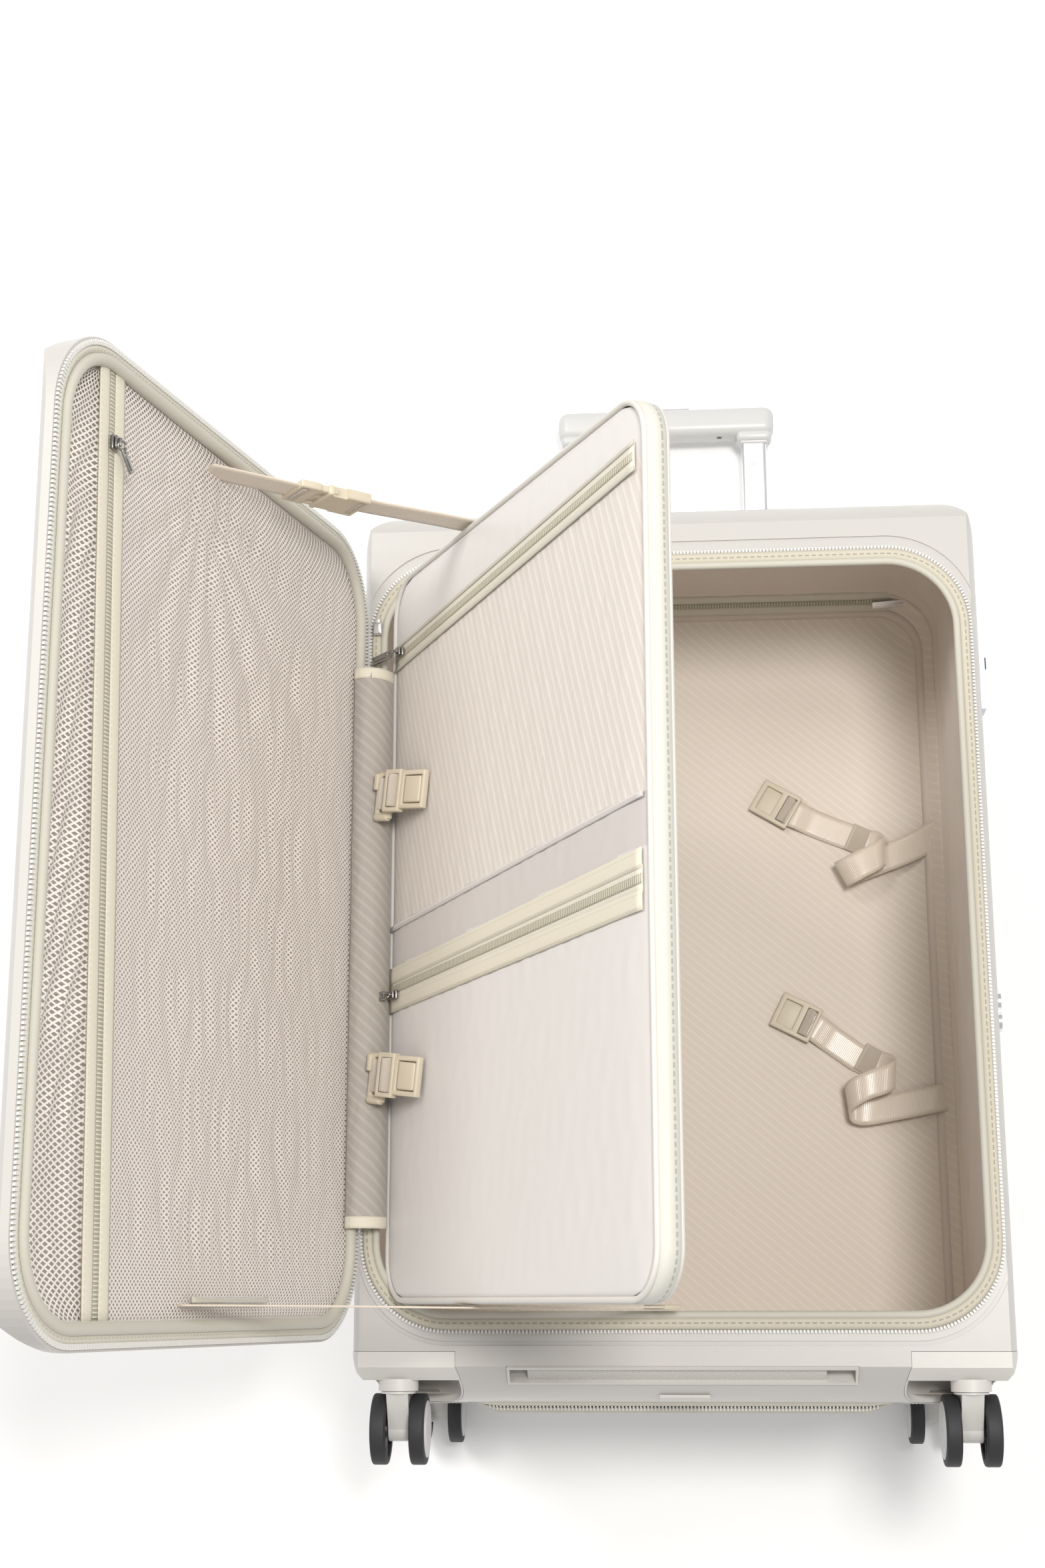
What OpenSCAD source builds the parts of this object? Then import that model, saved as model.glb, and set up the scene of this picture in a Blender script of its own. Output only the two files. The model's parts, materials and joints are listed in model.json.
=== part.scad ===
// Hard shell suitcase on four twin-wheel casters, lying on its back with its lid open.
// Millimetres. X runs from the hinge side to the lock side, Y from the wheels to the
// telescopic handle, Z from the back to the front. Origin: middle of the back face.

/* [Body] */
// outside width across X
case_w = 504; // [430:1:620]
// outside length along Y, without wheels
case_l = 722; // [600:1:880]
// depth of the main body, back face to rim plane
body_d = 335; // [280:1:420]
// wall thickness of the moulded shells
wall = 2.6; // [1.5:0.1:4]
// plan corner radius of the shells
corner_r = 50; // [40:1:70]
// edge radius round the back face
back_r = 26; // [15:1:35]
// depth of the front ring in front of the expansion zip
ring_d = 73; // [60:1:90]
// depth of the side wall that stays straight in front of the zip
side_straight = 35; // [20:1:40]
// depth of the end wall that stays straight in front of the zip
end_straight = 13; // [5:1:20]
// how far the side walls lean in at the rim plane
side_lean = 9; // [4:1:14]
// how far the end walls lean in at the rim plane
end_lean = 28; // [10:1:34]
// outside of the side wall to the edge of the opening
side_margin = 16; // [14:1:24]
// outside of the end wall to the edge of the opening
end_margin = 56; // [40:1:70]
// corner radius of the opening
open_r = 62; // [40:1:80]
// furthest the expansion zip lets the ring rise
expand = 35; // [20:1:50]

/* [Lid] */
// depth of the lid tray
lid_d = 36; // [20:1:60]
// radius of the lid's domed edge
lid_r = 100; // [60:1:160]
// angle between the shut and the open lid
lid_open = 104.7; // [60:0.1:120]
// gap between the rim and the lid's edge, filled by the two zip halves
lid_gap = 4; // [3:0.2:6]
// how far the lid reaches past the opening at its sides
lid_side = 5.5; // [4:0.1:7]
// how far the lid reaches past the opening at its ends
lid_end = 9; // [6:0.5:14]

/* [Divider] */
// width of the hinged divider panel
div_w = 437; // [340:1:560]
// thickness of the padded divider
div_t = 17.5; // [8:0.5:24]
// angle between the shut and the open divider
div_open = 60.7; // [30:0.1:90]
// corner radius of the divider on its hinge side
div_hinge_r = 47; // [44:1:60]
// corner radius of the divider on its free side
div_free_r = 30; // [20:1:44]
// gap between the divider and the piping at its hinge
div_gap = 2.5; // [1:0.1:5]

/* [Soft trim] */
// width of the stitched binding round the openings
bind_w = 10; // [6:0.5:14]
// height of the binding
bind_h = 5.5; // [3:0.5:8]
// thickness of lining cloth with its backing
cloth = 1; // [0.6:0.1:2]
// height of the back panel above the back face
panel_z = 56; // [54:1:90]
// thickness of the back panel
panel_t = 4; // [2:0.5:8]
// width of the webbing straps
strap_w = 26; // [20:1:38]
// thickness of the webbing
strap_t = 1.6; // [1:0.1:2.5]

/* [Zips] */
// width of one half of a zip
zip_w = 4.6; // [3:0.2:7]
// height of one half of a zip's teeth
zip_h = 1.9; // [1.4:0.1:2.4]
// how far the expansion zip stands out of the wall
zip_out = 0.8; // [0.3:0.1:2]

/* [Telescopic handle] */
// distance between the two tubes' centres
tube_gap = 171; // [120:1:220]
// height of the tubes' centres above the back face
tube_z = 30; // [28:1:40]
// width of the inner tube along X
tube_w = 24; // [14:0.5:30]
// depth of the inner tube along Z
tube_d = 14; // [8:0.5:18]
// wall of the tubes
tube_wall = 1.2; // [0.8:0.1:2]
// clearance each side between nested tubes
tube_play = 0.3; // [0.2:0.05:0.6]
// length of the grip along X
grip_w = 210; // [160:1:260]
// height of the grip along Y
grip_h = 29; // [18:0.5:36]
// depth of the grip along Z
grip_d = 30; // [20:0.5:34]
// distance from the top wall to the top of the drawn-out grip
grip_out = 203; // [150:1:260]
// travel of the inner tubes
inner_travel = 195; // [120:1:240]

/* [Carry handles] */
// length of a carry handle
carry_l = 190; // [150:1:230]
// width of a carry handle
carry_w = 24; // [16:1:34]
// thickness of a carry handle's bar
carry_t = 9; // [6:0.5:14]
// finger gap under a carry handle
carry_gap = 10; // [8:0.5:20]

/* [Casters] */
// wheel diameter
wheel_d = 52.4; // [40:0.2:70]
// width of one tyre
tyre_w = 11.5; // [8:0.5:16]
// distance between the centres of a caster's two wheels
twin_gap = 29.5; // [26:0.5:40]
// distance from the swivel axis to the axle
trail = 14; // [8:0.5:20]
// distance from the side wall to the swivel axis
caster_in = 37; // [30:1:60]
// swivel axis of the front casters behind the rim plane
front_set = 20; // [15:1:40]
// height of the rear casters' swivel axis above the back face
rear_set = 51; // [48:1:70]
// gap between the lower end wall and the wheels' contact line
ground_gap = 45; // [36:1:60]
// axle radius
axle_r = 3; // [2:0.25:5]
// running clearance on the axle's radius
run_gap = 0.08; // [0.03:0.01:0.1]

/* [Lock] */
// length of the lock plate
lock_l = 53; // [40:1:70]
// width of the lock plate
lock_w = 24; // [16:1:30]
// middle of the lock plate along Y
lock_y = 208; // [120:1:240]
// radius of a number wheel
dial_r = 4.4; // [3:0.1:6]
// number wheels
dials = 3; // [3:1:4]

/* [Hidden] */
$fn = 64;

hw = case_w / 2;
hl = case_l / 2;
seam = body_d - ring_d;
seam_gap = 1;
ow = hw - side_margin;
ol = hl - end_margin;
side_z = seam + side_straight;
side_rise = body_d - side_z;
side_arc = (side_rise * side_rise + side_lean * side_lean) / (2 * side_lean);
end_z = seam + end_straight;
end_rise = body_d - end_z;
end_arc = (end_rise * end_rise + end_lean * end_lean) / (2 * end_lean);
soft = 0.4;
big = 2000;

hinge_x = -(ow + lid_side + 1);
hinge_z = body_d + lid_gap / 2;
lid_z = body_d + lid_gap;
lw = ow + lid_side;
ll = ol + lid_end;
lid_corner = open_r + lid_side;

iw = ow - bind_w;
il = ol - bind_w - 1;
div_x = -(iw - div_gap);
div_z = body_d - 2;
div_l = 2 * (il - 7);

mid_w = tube_w + 2 * (tube_wall + tube_play);
mid_d = tube_d + 2 * (tube_wall + tube_play);
out_w = mid_w + 2 * (tube_wall + tube_play);
out_d = mid_d + 2 * (tube_wall + tube_play);
cup_w = grip_w + 22;
cup_d = grip_d + 16;
cup_floor = hl - 39;
cup_top = hl + 3;
grip_top = hl + grip_out;
grip_low = grip_top - grip_h;
boss_h = 7;

wheel_r = wheel_d / 2;
floor_y = -(hl + ground_gap);
axle_y = floor_y + wheel_r;
caster_x = hw - caster_in;
front_z = body_d - front_set;
pod_r = trail + wheel_r + 9;
wheel_top = floor_y + wheel_d;
crown_y = wheel_top + 2;
flange_h = 8;
pod_low = crown_y + flange_h + 0.4;
pod_h = 21;
hub_r = wheel_r - 7;
fork_w = twin_gap - tyre_w - 1.6;

carry_z = panel_z + 74;
leg_x = carry_l / 2 - 7;
foot_y = hl - 96;
lock_z = seam + 22;
recess_w = case_w - 242;
recess_h = 18;
recess_deep = 12;
recess_a = 43.5;
button_w = 46;
button_d = 12;
back_zip_x = hw - 32;
back_zip_y = hl - 22;
mesh_zip_u = 413;
mesh_zip_y = 248;
mesh_zip_a = 3;
upper_zip_y = 221;
lower_zip_y = -54;
upper_strap_y = 136;
lower_strap_y = -95;
check_y = il - 3.4;
lid_in = sqrt(pow(lid_r, 2) - pow(lid_r - lid_d + 6, 2));
check_in = 20;
check_l = 385;
hinge_l = 2 * (ol - 62);
pull_y = -58;

function dial_y(i) = lock_y - 3 + 8 * (i - (dials - 1) / 2);
function arc_y(a) = hl - end_arc + end_arc * cos(a);
function arc_z(a) = end_z + end_arc * sin(a);

// ---- shared shapes ----

module round_rect(w, l, r) {
  square([w - 2 * r, l], center = true);
  square([w, l - 2 * r], center = true);
  for (sx = [-1, 1], sy = [-1, 1])
    translate([sx * (w / 2 - r), sy * (l / 2 - r)])
      circle(r);
}

module frame_2d(w, l, r, t) {
  difference() {
    round_rect(w, l, r);
    round_rect(w - 2 * t, l - 2 * t, r - t);
  }
}

// half profile across the body: straight wall, back edge radius, front lean
module wall_profile(h, straight_z, arc, d) {
  r = back_r - d;
  translate([-(h - d), back_r])
    square([2 * (h - d), straight_z - back_r]);
  translate([-(h - back_r), d])
    square([2 * (h - back_r), back_r - d + 1]);
  for (s = [-1, 1])
    translate([s * (h - back_r), back_r])
      circle(r);
  intersection() {
    translate([-h, straight_z - 1])
      square([2 * h, body_d - straight_z + 1 - d]);
    union() {
      for (s = [-1, 1])
        translate([s * (h - arc), straight_z])
          circle(arc - d, $fn = 96);
      translate([-(h - arc), straight_z - 1])
        square([2 * (h - arc), body_d]);
    }
  }
}

module body_solid(d) {
  intersection() {
    linear_extrude(body_d)
      round_rect(case_w - 2 * d, case_l - 2 * d, corner_r - d);
    rotate([90, 0, 0])
      linear_extrude(case_l + 10, center = true)
        wall_profile(hw, side_z, side_arc, d);
    rotate([90, 0, 90])
      linear_extrude(case_w + 10, center = true)
        wall_profile(hl, end_z, end_arc, d);
  }
}

module at_casters(z) {
  for (s = [-1, 1])
    translate([s * caster_x, 0, z])
      children();
}

// cylinder along +Y from y0 to y1
module y_cyl(r, y0, y1) {
  translate([0, y1, 0])
    rotate([90, 0, 0])
      cylinder(r = r, h = y1 - y0);
}

module x_cyl(r, x0, x1) {
  translate([x0, 0, 0])
    rotate([0, 90, 0])
      cylinder(r = r, h = x1 - x0);
}

module band(w, l, r, t, z0, z1) {
  translate([0, 0, z0])
    linear_extrude(z1 - z0)
      frame_2d(w, l, r, t);
}

module in_lid() {
  translate([hinge_x, 0, hinge_z])
    rotate([0, -lid_open, 0])
      translate([-hinge_x, 0, -hinge_z])
        children();
}

module in_divider() {
  translate([div_x, 0, div_z])
    rotate([0, -div_open, 0])
      children();
}

// zip slider with a pull: body along +X, pull hanging past its end
module zip_slider(l, w, h, pull) {
  difference() {
    translate([-l / 2, -w / 2, 0])
      cube([l, w, h]);
    translate([-l / 4, -w / 4, h - 1])
      cube([l / 2, w / 2, 2]);
  }
  translate([l / 2, 0, 0])
    linear_extrude(1.2)
      difference() {
        union() {
          circle(w / 2);
          translate([0, -w / 2])
            square([pull, w]);
          translate([pull, 0])
            circle(w / 2);
        }
        translate([pull, 0])
          circle(w / 4);
      }
}

// ---- shells ----

module rear_shell() {
  color([0.85, 0.83, 0.79])
    difference() {
      body_solid(0);
      body_solid(wall);
      translate([-big / 2, -big / 2, seam - seam_gap])
        cube([big, big, big]);
      at_casters(rear_set)
        y_cyl(pod_r + 0.3, floor_y, pod_low + pod_h + 0.3);
      translate([-cup_w / 2 - 0.2, cup_floor - 0.2, tube_z - cup_d / 2 - 0.2])
        cube([cup_w + 0.4, 100, cup_d + 0.4]);
      for (s = [-1, 1])
        translate([s * leg_x - 5.2, hl - 10, carry_z - 8.2])
          cube([10.4, 20, 16.4]);
      for (s = [-1, 1])
        translate([hw - 10, s * leg_x - 5.2, carry_z - 8.2])
          cube([20, 10.4, 16.4]);
    }
}

module front_ring() {
  color([0.86, 0.84, 0.8])
    difference() {
      body_solid(0);
      body_solid(wall);
      translate([-big / 2, -big / 2, seam + seam_gap - big])
        cube([big, big, big]);
      translate([0, 0, body_d - 10])
        linear_extrude(20)
          round_rect(2 * ow, 2 * ol, open_r);
      intersection() {
        band(2 * lw + 14, 2 * ll + 8, lid_corner + 6, 3.5, body_d - 1.2, body_d + 5);
        for (s = [-1, 1])
          translate([-hw, s * hl - 100, body_d - 5])
            cube([case_w, 200, 20]);
      }
      at_casters(front_z)
        y_cyl(pod_r + 0.3, floor_y, pod_low + pod_h + 0.3);
      recess_place()
        translate([-recess_w / 2 - 0.3, -recess_h / 2 - 0.3, -recess_deep - 0.3])
          cube([recess_w + 0.6, recess_h + 0.6, 40]);
      translate([hw - 8, lock_y - lock_l / 2 - 0.2, lock_z - lock_w / 2 - 0.2])
        cube([20, lock_l + 0.4, lock_w + 0.4]);
    }
}

module expansion_zip_rear() {
  color([0.55, 0.54, 0.52])
    band(case_w + 2 * zip_out, case_l + 2 * zip_out, corner_r + zip_out, zip_out,
      seam - seam_gap - zip_w, seam - 0.1);
}

module expansion_zip_front() {
  color([0.55, 0.54, 0.52])
    difference() {
      band(case_w + 2 * zip_out, case_l + 2 * zip_out, corner_r + zip_out, zip_out,
        seam + 0.1, seam + seam_gap + zip_w - 1.6);
      at_casters(front_z)
        y_cyl(pod_r + 0.3, floor_y, -hl + 40);
    }
}

module gusset() {
  color([0.72, 0.66, 0.58])
    difference() {
      band(2 * (hw - wall - 0.6), 2 * (hl - wall - 3.8), corner_r - wall, cloth,
        seam - expand / 2 - 12.5, seam + expand / 2 + 12.5);
      at_casters(front_z)
        y_cyl(pod_r + 1, floor_y, pod_low + pod_h + 1);
    }
}

// ---- linings ----

module rear_lining() {
  color([0.78, 0.72, 0.64])
    difference() {
      band(2 * (hw - wall - 3.9), 2 * (hl - wall - 6.4), corner_r - 6, cloth,
        panel_z + panel_t + 2, seam - 6);
      at_casters(rear_set)
        y_cyl(pod_r + 1, floor_y, pod_low + pod_h + 1);
    }
}

module front_lining() {
  color([0.78, 0.72, 0.64])
    band(2 * (iw + 3.5), 2 * (il + 3.5), open_r - bind_w + 3.5, cloth,
      seam + 2, body_d - 5);
}

module back_panel() {
  color([0.8, 0.74, 0.66])
    difference() {
      translate([0, 0, panel_z])
        linear_extrude(panel_t)
          round_rect(2 * (hw - 12), 2 * (hl - 15), corner_r - 5);
      at_casters(rear_set)
        y_cyl(pod_r + 1, floor_y, pod_low + pod_h + 1);
    }
}

module back_zip_slider() {
  color([0.35, 0.34, 0.34])
    translate([back_zip_x, back_zip_y, panel_z + panel_t + soft])
      rotate([0, 0, 180])
        zip_slider(9, 7, 4, 16);
}

module rim_binding() {
  color([0.86, 0.85, 0.77])
    band(2 * ow - 2 * soft, 2 * ol - 2 * soft, open_r - soft, bind_w - soft,
      body_d - 3.5, body_d - 3.5 + bind_h);
}

module rim_zip() {
  color([0.9, 0.89, 0.86])
    band(2 * ow + 2 * zip_w, 2 * ol + 2 * zip_w, open_r + zip_w, zip_w,
      body_d, body_d + zip_h);
}

// ---- telescopic handle ----

module tube_2d(w, d) {
  difference() {
    round_rect(w, d, 4);
    round_rect(w - 2 * tube_wall, d - 2 * tube_wall, 4 - tube_wall);
  }
}

module tube_pair(w, d, y0, y1) {
  for (s = [-1, 1])
    translate([s * tube_gap / 2, y1, tube_z])
      rotate([90, 0, 0])
        linear_extrude(y1 - y0)
          tube_2d(w, d);
}

module outer_tubes() {
  color([0.75, 0.76, 0.78])
    union() {
      tube_pair(out_w, out_d, -hl + 62, cup_floor - 0.2);
      for (s = [-1, 1])
        translate([s * tube_gap / 2 - 24, -hl + 50, wall])
          cube([48, 12, tube_z + out_d / 2 - wall]);
    }
}

module mid_tubes() {
  color([0.8, 0.81, 0.83])
    tube_pair(mid_w, mid_d, -hl + 72, cup_floor + 6);
}

module inner_tubes() {
  color([0.88, 0.88, 0.88])
    tube_pair(tube_w, tube_d, -hl + 89 + inner_travel, grip_low - boss_h - 0.05);
}

module grip() {
  color([0.86, 0.86, 0.86])
    difference() {
      union() {
        translate([0, grip_low + grip_h / 2, tube_z - grip_d / 2])
          linear_extrude(grip_d)
            round_rect(grip_w, grip_h, 10);
        for (s = [-1, 1])
          translate([s * tube_gap / 2, grip_low + 1, tube_z])
            rotate([90, 0, 0])
              linear_extrude(boss_h + 1)
                round_rect(tube_w + 12, tube_d + 8, 5);
      }
      translate([-button_w / 2 - 0.4, grip_top - 8, tube_z - button_d / 2 - 0.4])
        cube([button_w + 0.8, 20, button_d + 0.8]);
      for (s = [-1, 1])
        translate([s * 49, grip_low + 6, tube_z + grip_d / 2])
          rotate([90, 0, 0])
            translate([0, -4, 0])
              cylinder(r = 2.4, h = 10);
    }
}

module grip_button() {
  color([0.55, 0.56, 0.58])
    translate([-button_w / 2, grip_top - 6, tube_z - button_d / 2])
      cube([button_w, 7.5, button_d]);
}

module handle_cup() {
  color([0.5, 0.51, 0.53])
    difference() {
      translate([-cup_w / 2, cup_floor, tube_z - cup_d / 2])
        cube([cup_w, cup_top - cup_floor, cup_d]);
      translate([0, cup_floor + 4, tube_z - cup_d / 2 + 5])
        translate([-grip_w / 2 - 4, 0, 0])
          cube([grip_w + 8, 100, cup_d - 10]);
      for (s = [-1, 1])
        translate([s * tube_gap / 2, cup_floor + 10, tube_z])
          rotate([90, 0, 0])
            linear_extrude(20)
              round_rect(mid_w + 0.8, mid_d + 0.8, 4.4);
    }
}

// ---- carry handles, feet, base fittings ----

module carry_bar() {
  translate([-carry_l / 2, carry_gap, -carry_w / 2])
    cube([carry_l, carry_t, carry_w]);
  for (s = [-1, 1])
    translate([s * leg_x - 5, -6.5, -8])
      cube([10, carry_gap + 7, 16]);
}

module carry_mount() {
  difference() {
    translate([-17, 0, -17])
      cube([34, 8, 34]);
    translate([-5.2, -1, -8.2])
      cube([10.4, 20, 16.4]);
  }
}

module top_handle() {
  color([0.7, 0.69, 0.67])
    translate([0, hl, carry_z])
      carry_bar();
}

module side_handle() {
  color([0.7, 0.69, 0.67])
    translate([hw, 0, carry_z])
      rotate([0, 0, -90])
        carry_bar();
}

module carry_mounts() {
  color([0.78, 0.77, 0.74])
    for (a = [0, -90], s = [-1, 1])
      rotate([0, 0, a])
        translate([s * leg_x, a == 0 ? hl : hw, carry_z])
          carry_mount();
}

module side_feet() {
  color([0.7, 0.7, 0.68])
    for (sy = [-1, 1], z = [58, seam - 40])
      translate([-hw, sy * foot_y, z])
        x_cyl(9, -9, 0);
}

module recess_place() {
  translate([0, -arc_y(recess_a), arc_z(recess_a)])
    rotate([90 - recess_a, 0, 0])
      children();
}

module base_fittings() {
  color([0.8, 0.79, 0.77]) {
    recess_place()
      difference() {
        translate([-recess_w / 2, -recess_h / 2, -recess_deep])
          cube([recess_w, recess_h, recess_deep + 1]);
        translate([-recess_w / 2 + 2, -recess_h / 2 + 2, -recess_deep + 2])
          cube([recess_w - 4, recess_h - 4, 40]);
      }
    translate([0, -arc_y(22), arc_z(22)])
      rotate([90 - 22, 0, 0])
        translate([-17, -4, 0.3])
          cube([38, 8, 2.4]);
  }
}

// ---- lid, drawn shut and then swung open ----

module lid_profile(h, d) {
  intersection() {
    translate([-(h - d), lid_z - 1])
      square([2 * (h - d), lid_d - d + 1]);
    union() {
      translate([-(h - lid_in), lid_z - 1])
        square([2 * (h - lid_in), lid_d - d + 1]);
      for (s = [-1, 1])
        translate([s * (h - lid_in), lid_z + lid_d - lid_r])
          circle(lid_r - d);
    }
  }
}

module lid_solid(d, low) {
  intersection() {
    translate([0, 0, lid_z - low])
      linear_extrude(lid_d + 10)
        round_rect(2 * (lw - d), 2 * (ll - d), lid_corner - d);
    rotate([90, 0, 0])
      linear_extrude(2 * ll + 10, center = true)
        lid_profile(lw, d);
    rotate([90, 0, 90])
      linear_extrude(2 * lw + 10, center = true)
        lid_profile(ll, d);
  }
}

module lid_shell() {
  color([0.86, 0.84, 0.8])
    in_lid()
      difference() {
        lid_solid(0, 0);
        lid_solid(wall, 1);
      }
}

module lid_binding() {
  color([0.86, 0.85, 0.77])
    in_lid()
      band(2 * (lw - wall - soft), 2 * (ll - wall - soft), lid_corner - wall - soft, bind_w,
        lid_z, lid_z + 4);
}

module lid_zip() {
  color([0.9, 0.89, 0.86])
    in_lid()
      band(2 * ow + 2 * zip_w, 2 * ol + 2 * zip_w, open_r + zip_w, zip_w,
        lid_z - zip_h, lid_z);
}

module lid_mesh() {
  color([0.8, 0.73, 0.68])
    in_lid()
      translate([0, 0, lid_z + 4 + soft])
        linear_extrude(cloth)
          round_rect(2 * (lw - wall - 1), 2 * (ll - wall - 1), lid_corner - wall - 1);
}

module lid_zip_slider() {
  color([0.6, 0.6, 0.6])
    in_lid()
      translate([hinge_x + mesh_zip_u, mesh_zip_y, lid_z + 4 - soft])
        rotate([180, 0, -90 + mesh_zip_a])
          zip_slider(9, 7, 4, 22);
}

// ---- divider, local axes: +X across it from its hinge, +Z out of its outer face ----

module divider() {
  color([0.88, 0.86, 0.84])
    in_divider()
      translate([0, 0, -div_t])
        linear_extrude(div_t) {
          translate([div_hinge_r, -div_l / 2])
            square([div_w - div_hinge_r - div_free_r, div_l]);
          translate([0, -div_l / 2 + div_hinge_r])
            square([div_w / 2, div_l - 2 * div_hinge_r]);
          translate([div_w / 2, -div_l / 2 + div_free_r])
            square([div_w / 2, div_l - 2 * div_free_r]);
          for (s = [-1, 1]) {
            translate([div_hinge_r, s * (div_l / 2 - div_hinge_r)])
              circle(div_hinge_r);
            translate([div_w - div_free_r, s * (div_l / 2 - div_free_r)])
              circle(div_free_r);
          }
        }
}

module divider_slider_upper() {
  color([0.35, 0.34, 0.34])
    in_divider()
      translate([28, upper_zip_y, soft])
        rotate([0, 0, 3])
          zip_slider(9, 7, 4, 16);
}

module divider_slider_lower() {
  color([0.35, 0.34, 0.34])
    in_divider()
      translate([28, lower_zip_y, soft])
        rotate([0, 0, 2])
          zip_slider(9, 7, 4, 16);
}

module side_buckle() {
  linear_extrude(7)
    difference() {
      round_rect(52, 38, 4);
      translate([-14, 0])
        square([7, 28], center = true);
    }
}

module buckle_left_upper() {
  color([0.78, 0.74, 0.65])
    in_divider()
      translate([46, 111, soft])
        rotate([0, 0, -10])
          side_buckle();
}

module buckle_left_lower() {
  color([0.78, 0.74, 0.65])
    in_divider()
      translate([46, -114, soft])
        rotate([0, 0, -8])
          side_buckle();
}

// ---- cross straps on the back panel ----

module strap_right(y, a, l) {
  translate([hw - 14, y, panel_z + panel_t + soft])
    rotate([0, 0, a])
      translate([-l, -strap_w / 2, 0])
        cube([l, strap_w, strap_t]);
}

module buckle_right(y, a, l) {
  translate([hw - 14, y, panel_z + panel_t + soft])
    rotate([0, 0, a])
      translate([-l - 23, 0, 0])
        linear_extrude(6)
          difference() {
            round_rect(44, strap_w + 12, 4);
            translate([-6, 0])
              square([20, strap_w], center = true);
          }
}

module strap_right_upper() {
  color([0.8, 0.74, 0.64])
    strap_right(upper_strap_y, -9, 126);
}

module strap_right_lower() {
  color([0.8, 0.74, 0.64])
    strap_right(lower_strap_y, -23, 126);
}

module buckle_right_upper() {
  color([0.78, 0.74, 0.65])
    buckle_right(upper_strap_y, -9, 126);
}

module buckle_right_lower() {
  color([0.78, 0.74, 0.65])
    buckle_right(lower_strap_y, -23, 126);
}

// ---- check straps from the lid to the body's rim, and the hinge cover ----

module check_strap(y, u_lid, u_div) {
  x0 = hinge_x + u_lid * cos(lid_open);
  z0 = hinge_z + u_lid * sin(lid_open);
  x1 = div_x + u_div * cos(div_open);
  z1 = div_z + u_div * sin(div_open);
  translate([x0, y, z0])
    rotate([0, atan2(z0 - z1, x1 - x0), 0])
      rotate([90, 0, 0])
        children();
}

module check_straps() {
  color([0.8, 0.74, 0.64])
    for (s = [-1, 1])
      check_strap(s * check_y, 265, 150)
        difference() {
          translate([check_in, -strap_w / 2, -strap_t / 2])
            cube([check_l - check_in, strap_w, strap_t]);
          if (s == 1)
            translate([52, -strap_w, -5])
              cube([65, 2 * strap_w, 10]);
        }
}

module check_buckle() {
  color([0.78, 0.74, 0.65])
    check_strap(check_y, 265, 150)
      translate([84.5, 0, -3.5])
        linear_extrude(7)
          difference() {
            round_rect(62, strap_w + 8, 6);
            for (s = [-1, 1])
              translate([s * 22, 0])
                square([5, strap_w], center = true);
          }
}

module hinge_cover() {
  color([0.78, 0.72, 0.64])
    translate([hinge_x + 8, 0, hinge_z + 4])
      rotate([0, -42, 0])
        translate([0, -hinge_l / 2, 0])
          cube([12, hinge_l, cloth]);
}

// ---- lock and expansion zip sliders ----

module lock_case() {
  color([0.62, 0.66, 0.7])
    difference() {
      translate([hw - wall + 0.2, lock_y - lock_l / 2, lock_z - lock_w / 2])
        cube([wall + 4.8, lock_l, lock_w]);
      for (i = [0 : dials - 1])
        translate([hw - 5, dial_y(i) - 2.8, lock_z - dial_r - 0.5])
          cube([20, 5.6, 2 * dial_r + 1]);
      translate([hw + 1, lock_y + lock_l / 2 - 17.3, lock_z - 5.3])
        cube([20, 12.6, 10.6]);
      for (z = [lock_z - 7, lock_z + 7])
        translate([hw + 2, lock_y - lock_l / 2 + 7, z])
          x_cyl(2, 0, 20);
    }
}

module lock_button() {
  color([0.3, 0.31, 0.33])
    translate([hw + 1.2, lock_y + lock_l / 2 - 17, lock_z - 5])
      cube([6, 9, 10]);
}

module lock_dial(i) {
  color([0.2, 0.2, 0.21])
    translate([hw + 1.4, dial_y(i) - 2.3, lock_z])
      y_cyl(dial_r, 0, 4.6);
}

module lock_dial_1() {
  lock_dial(0);
}

module lock_dial_2() {
  lock_dial(1);
}

module lock_dial_3() {
  lock_dial(2);
}

module c_pull() {
  difference() {
    x_cyl(8, 0, 2.4);
    x_cyl(5, -1, 4);
    translate([-1, -3, -12])
      cube([5, 6, 12]);
  }
}

module expansion_slider(y, s) {
  translate([hw + zip_out + 0.2, y, seam]) {
    translate([0, -5, -4])
      cube([3.6, 10, 8]);
    translate([4, s * 9, 0])
      rotate([s * 90, 0, 0])
        c_pull();
    translate([3.4, s * 4, -1.2])
      translate([0, s > 0 ? -2 : -1, 0])
        cube([2.4, 3, 2.4]);
  }
}

module expansion_slider_a() {
  color([0.8, 0.8, 0.82])
    expansion_slider(pull_y + 14, -1);
}

module expansion_slider_b() {
  color([0.8, 0.8, 0.82])
    expansion_slider(pull_y - 20, 1);
}

// ---- casters ----

module caster_base(z) {
  difference() {
    intersection() {
      at_casters(z)
        y_cyl(pod_r, pod_low, pod_low + pod_h);
      body_solid(-0.4);
    }
    intersection() {
      at_casters(z)
        y_cyl(pod_r - 3, pod_low + 3, pod_low + pod_h + 5);
      body_solid(2.6);
      translate([-case_w, -case_l, 3])
        cube([2 * case_w, 2 * case_l, body_d - 6]);
    }
  }
  intersection() {
    at_casters(z)
      difference() {
        y_cyl(pod_r, -hl - 2, pod_low + 1);
        y_cyl(pod_r - 1.4, -hl - 3, pod_low + 2);
      }
    body_solid(0.2);
  }
  at_casters(z)
    y_cyl(15, crown_y + 0.4, pod_low + 1);
}

module caster_base_front() {
  color([0.78, 0.77, 0.75])
    caster_base(front_z);
}

module caster_base_rear() {
  color([0.78, 0.77, 0.75])
    caster_base(rear_set);
}

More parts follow.
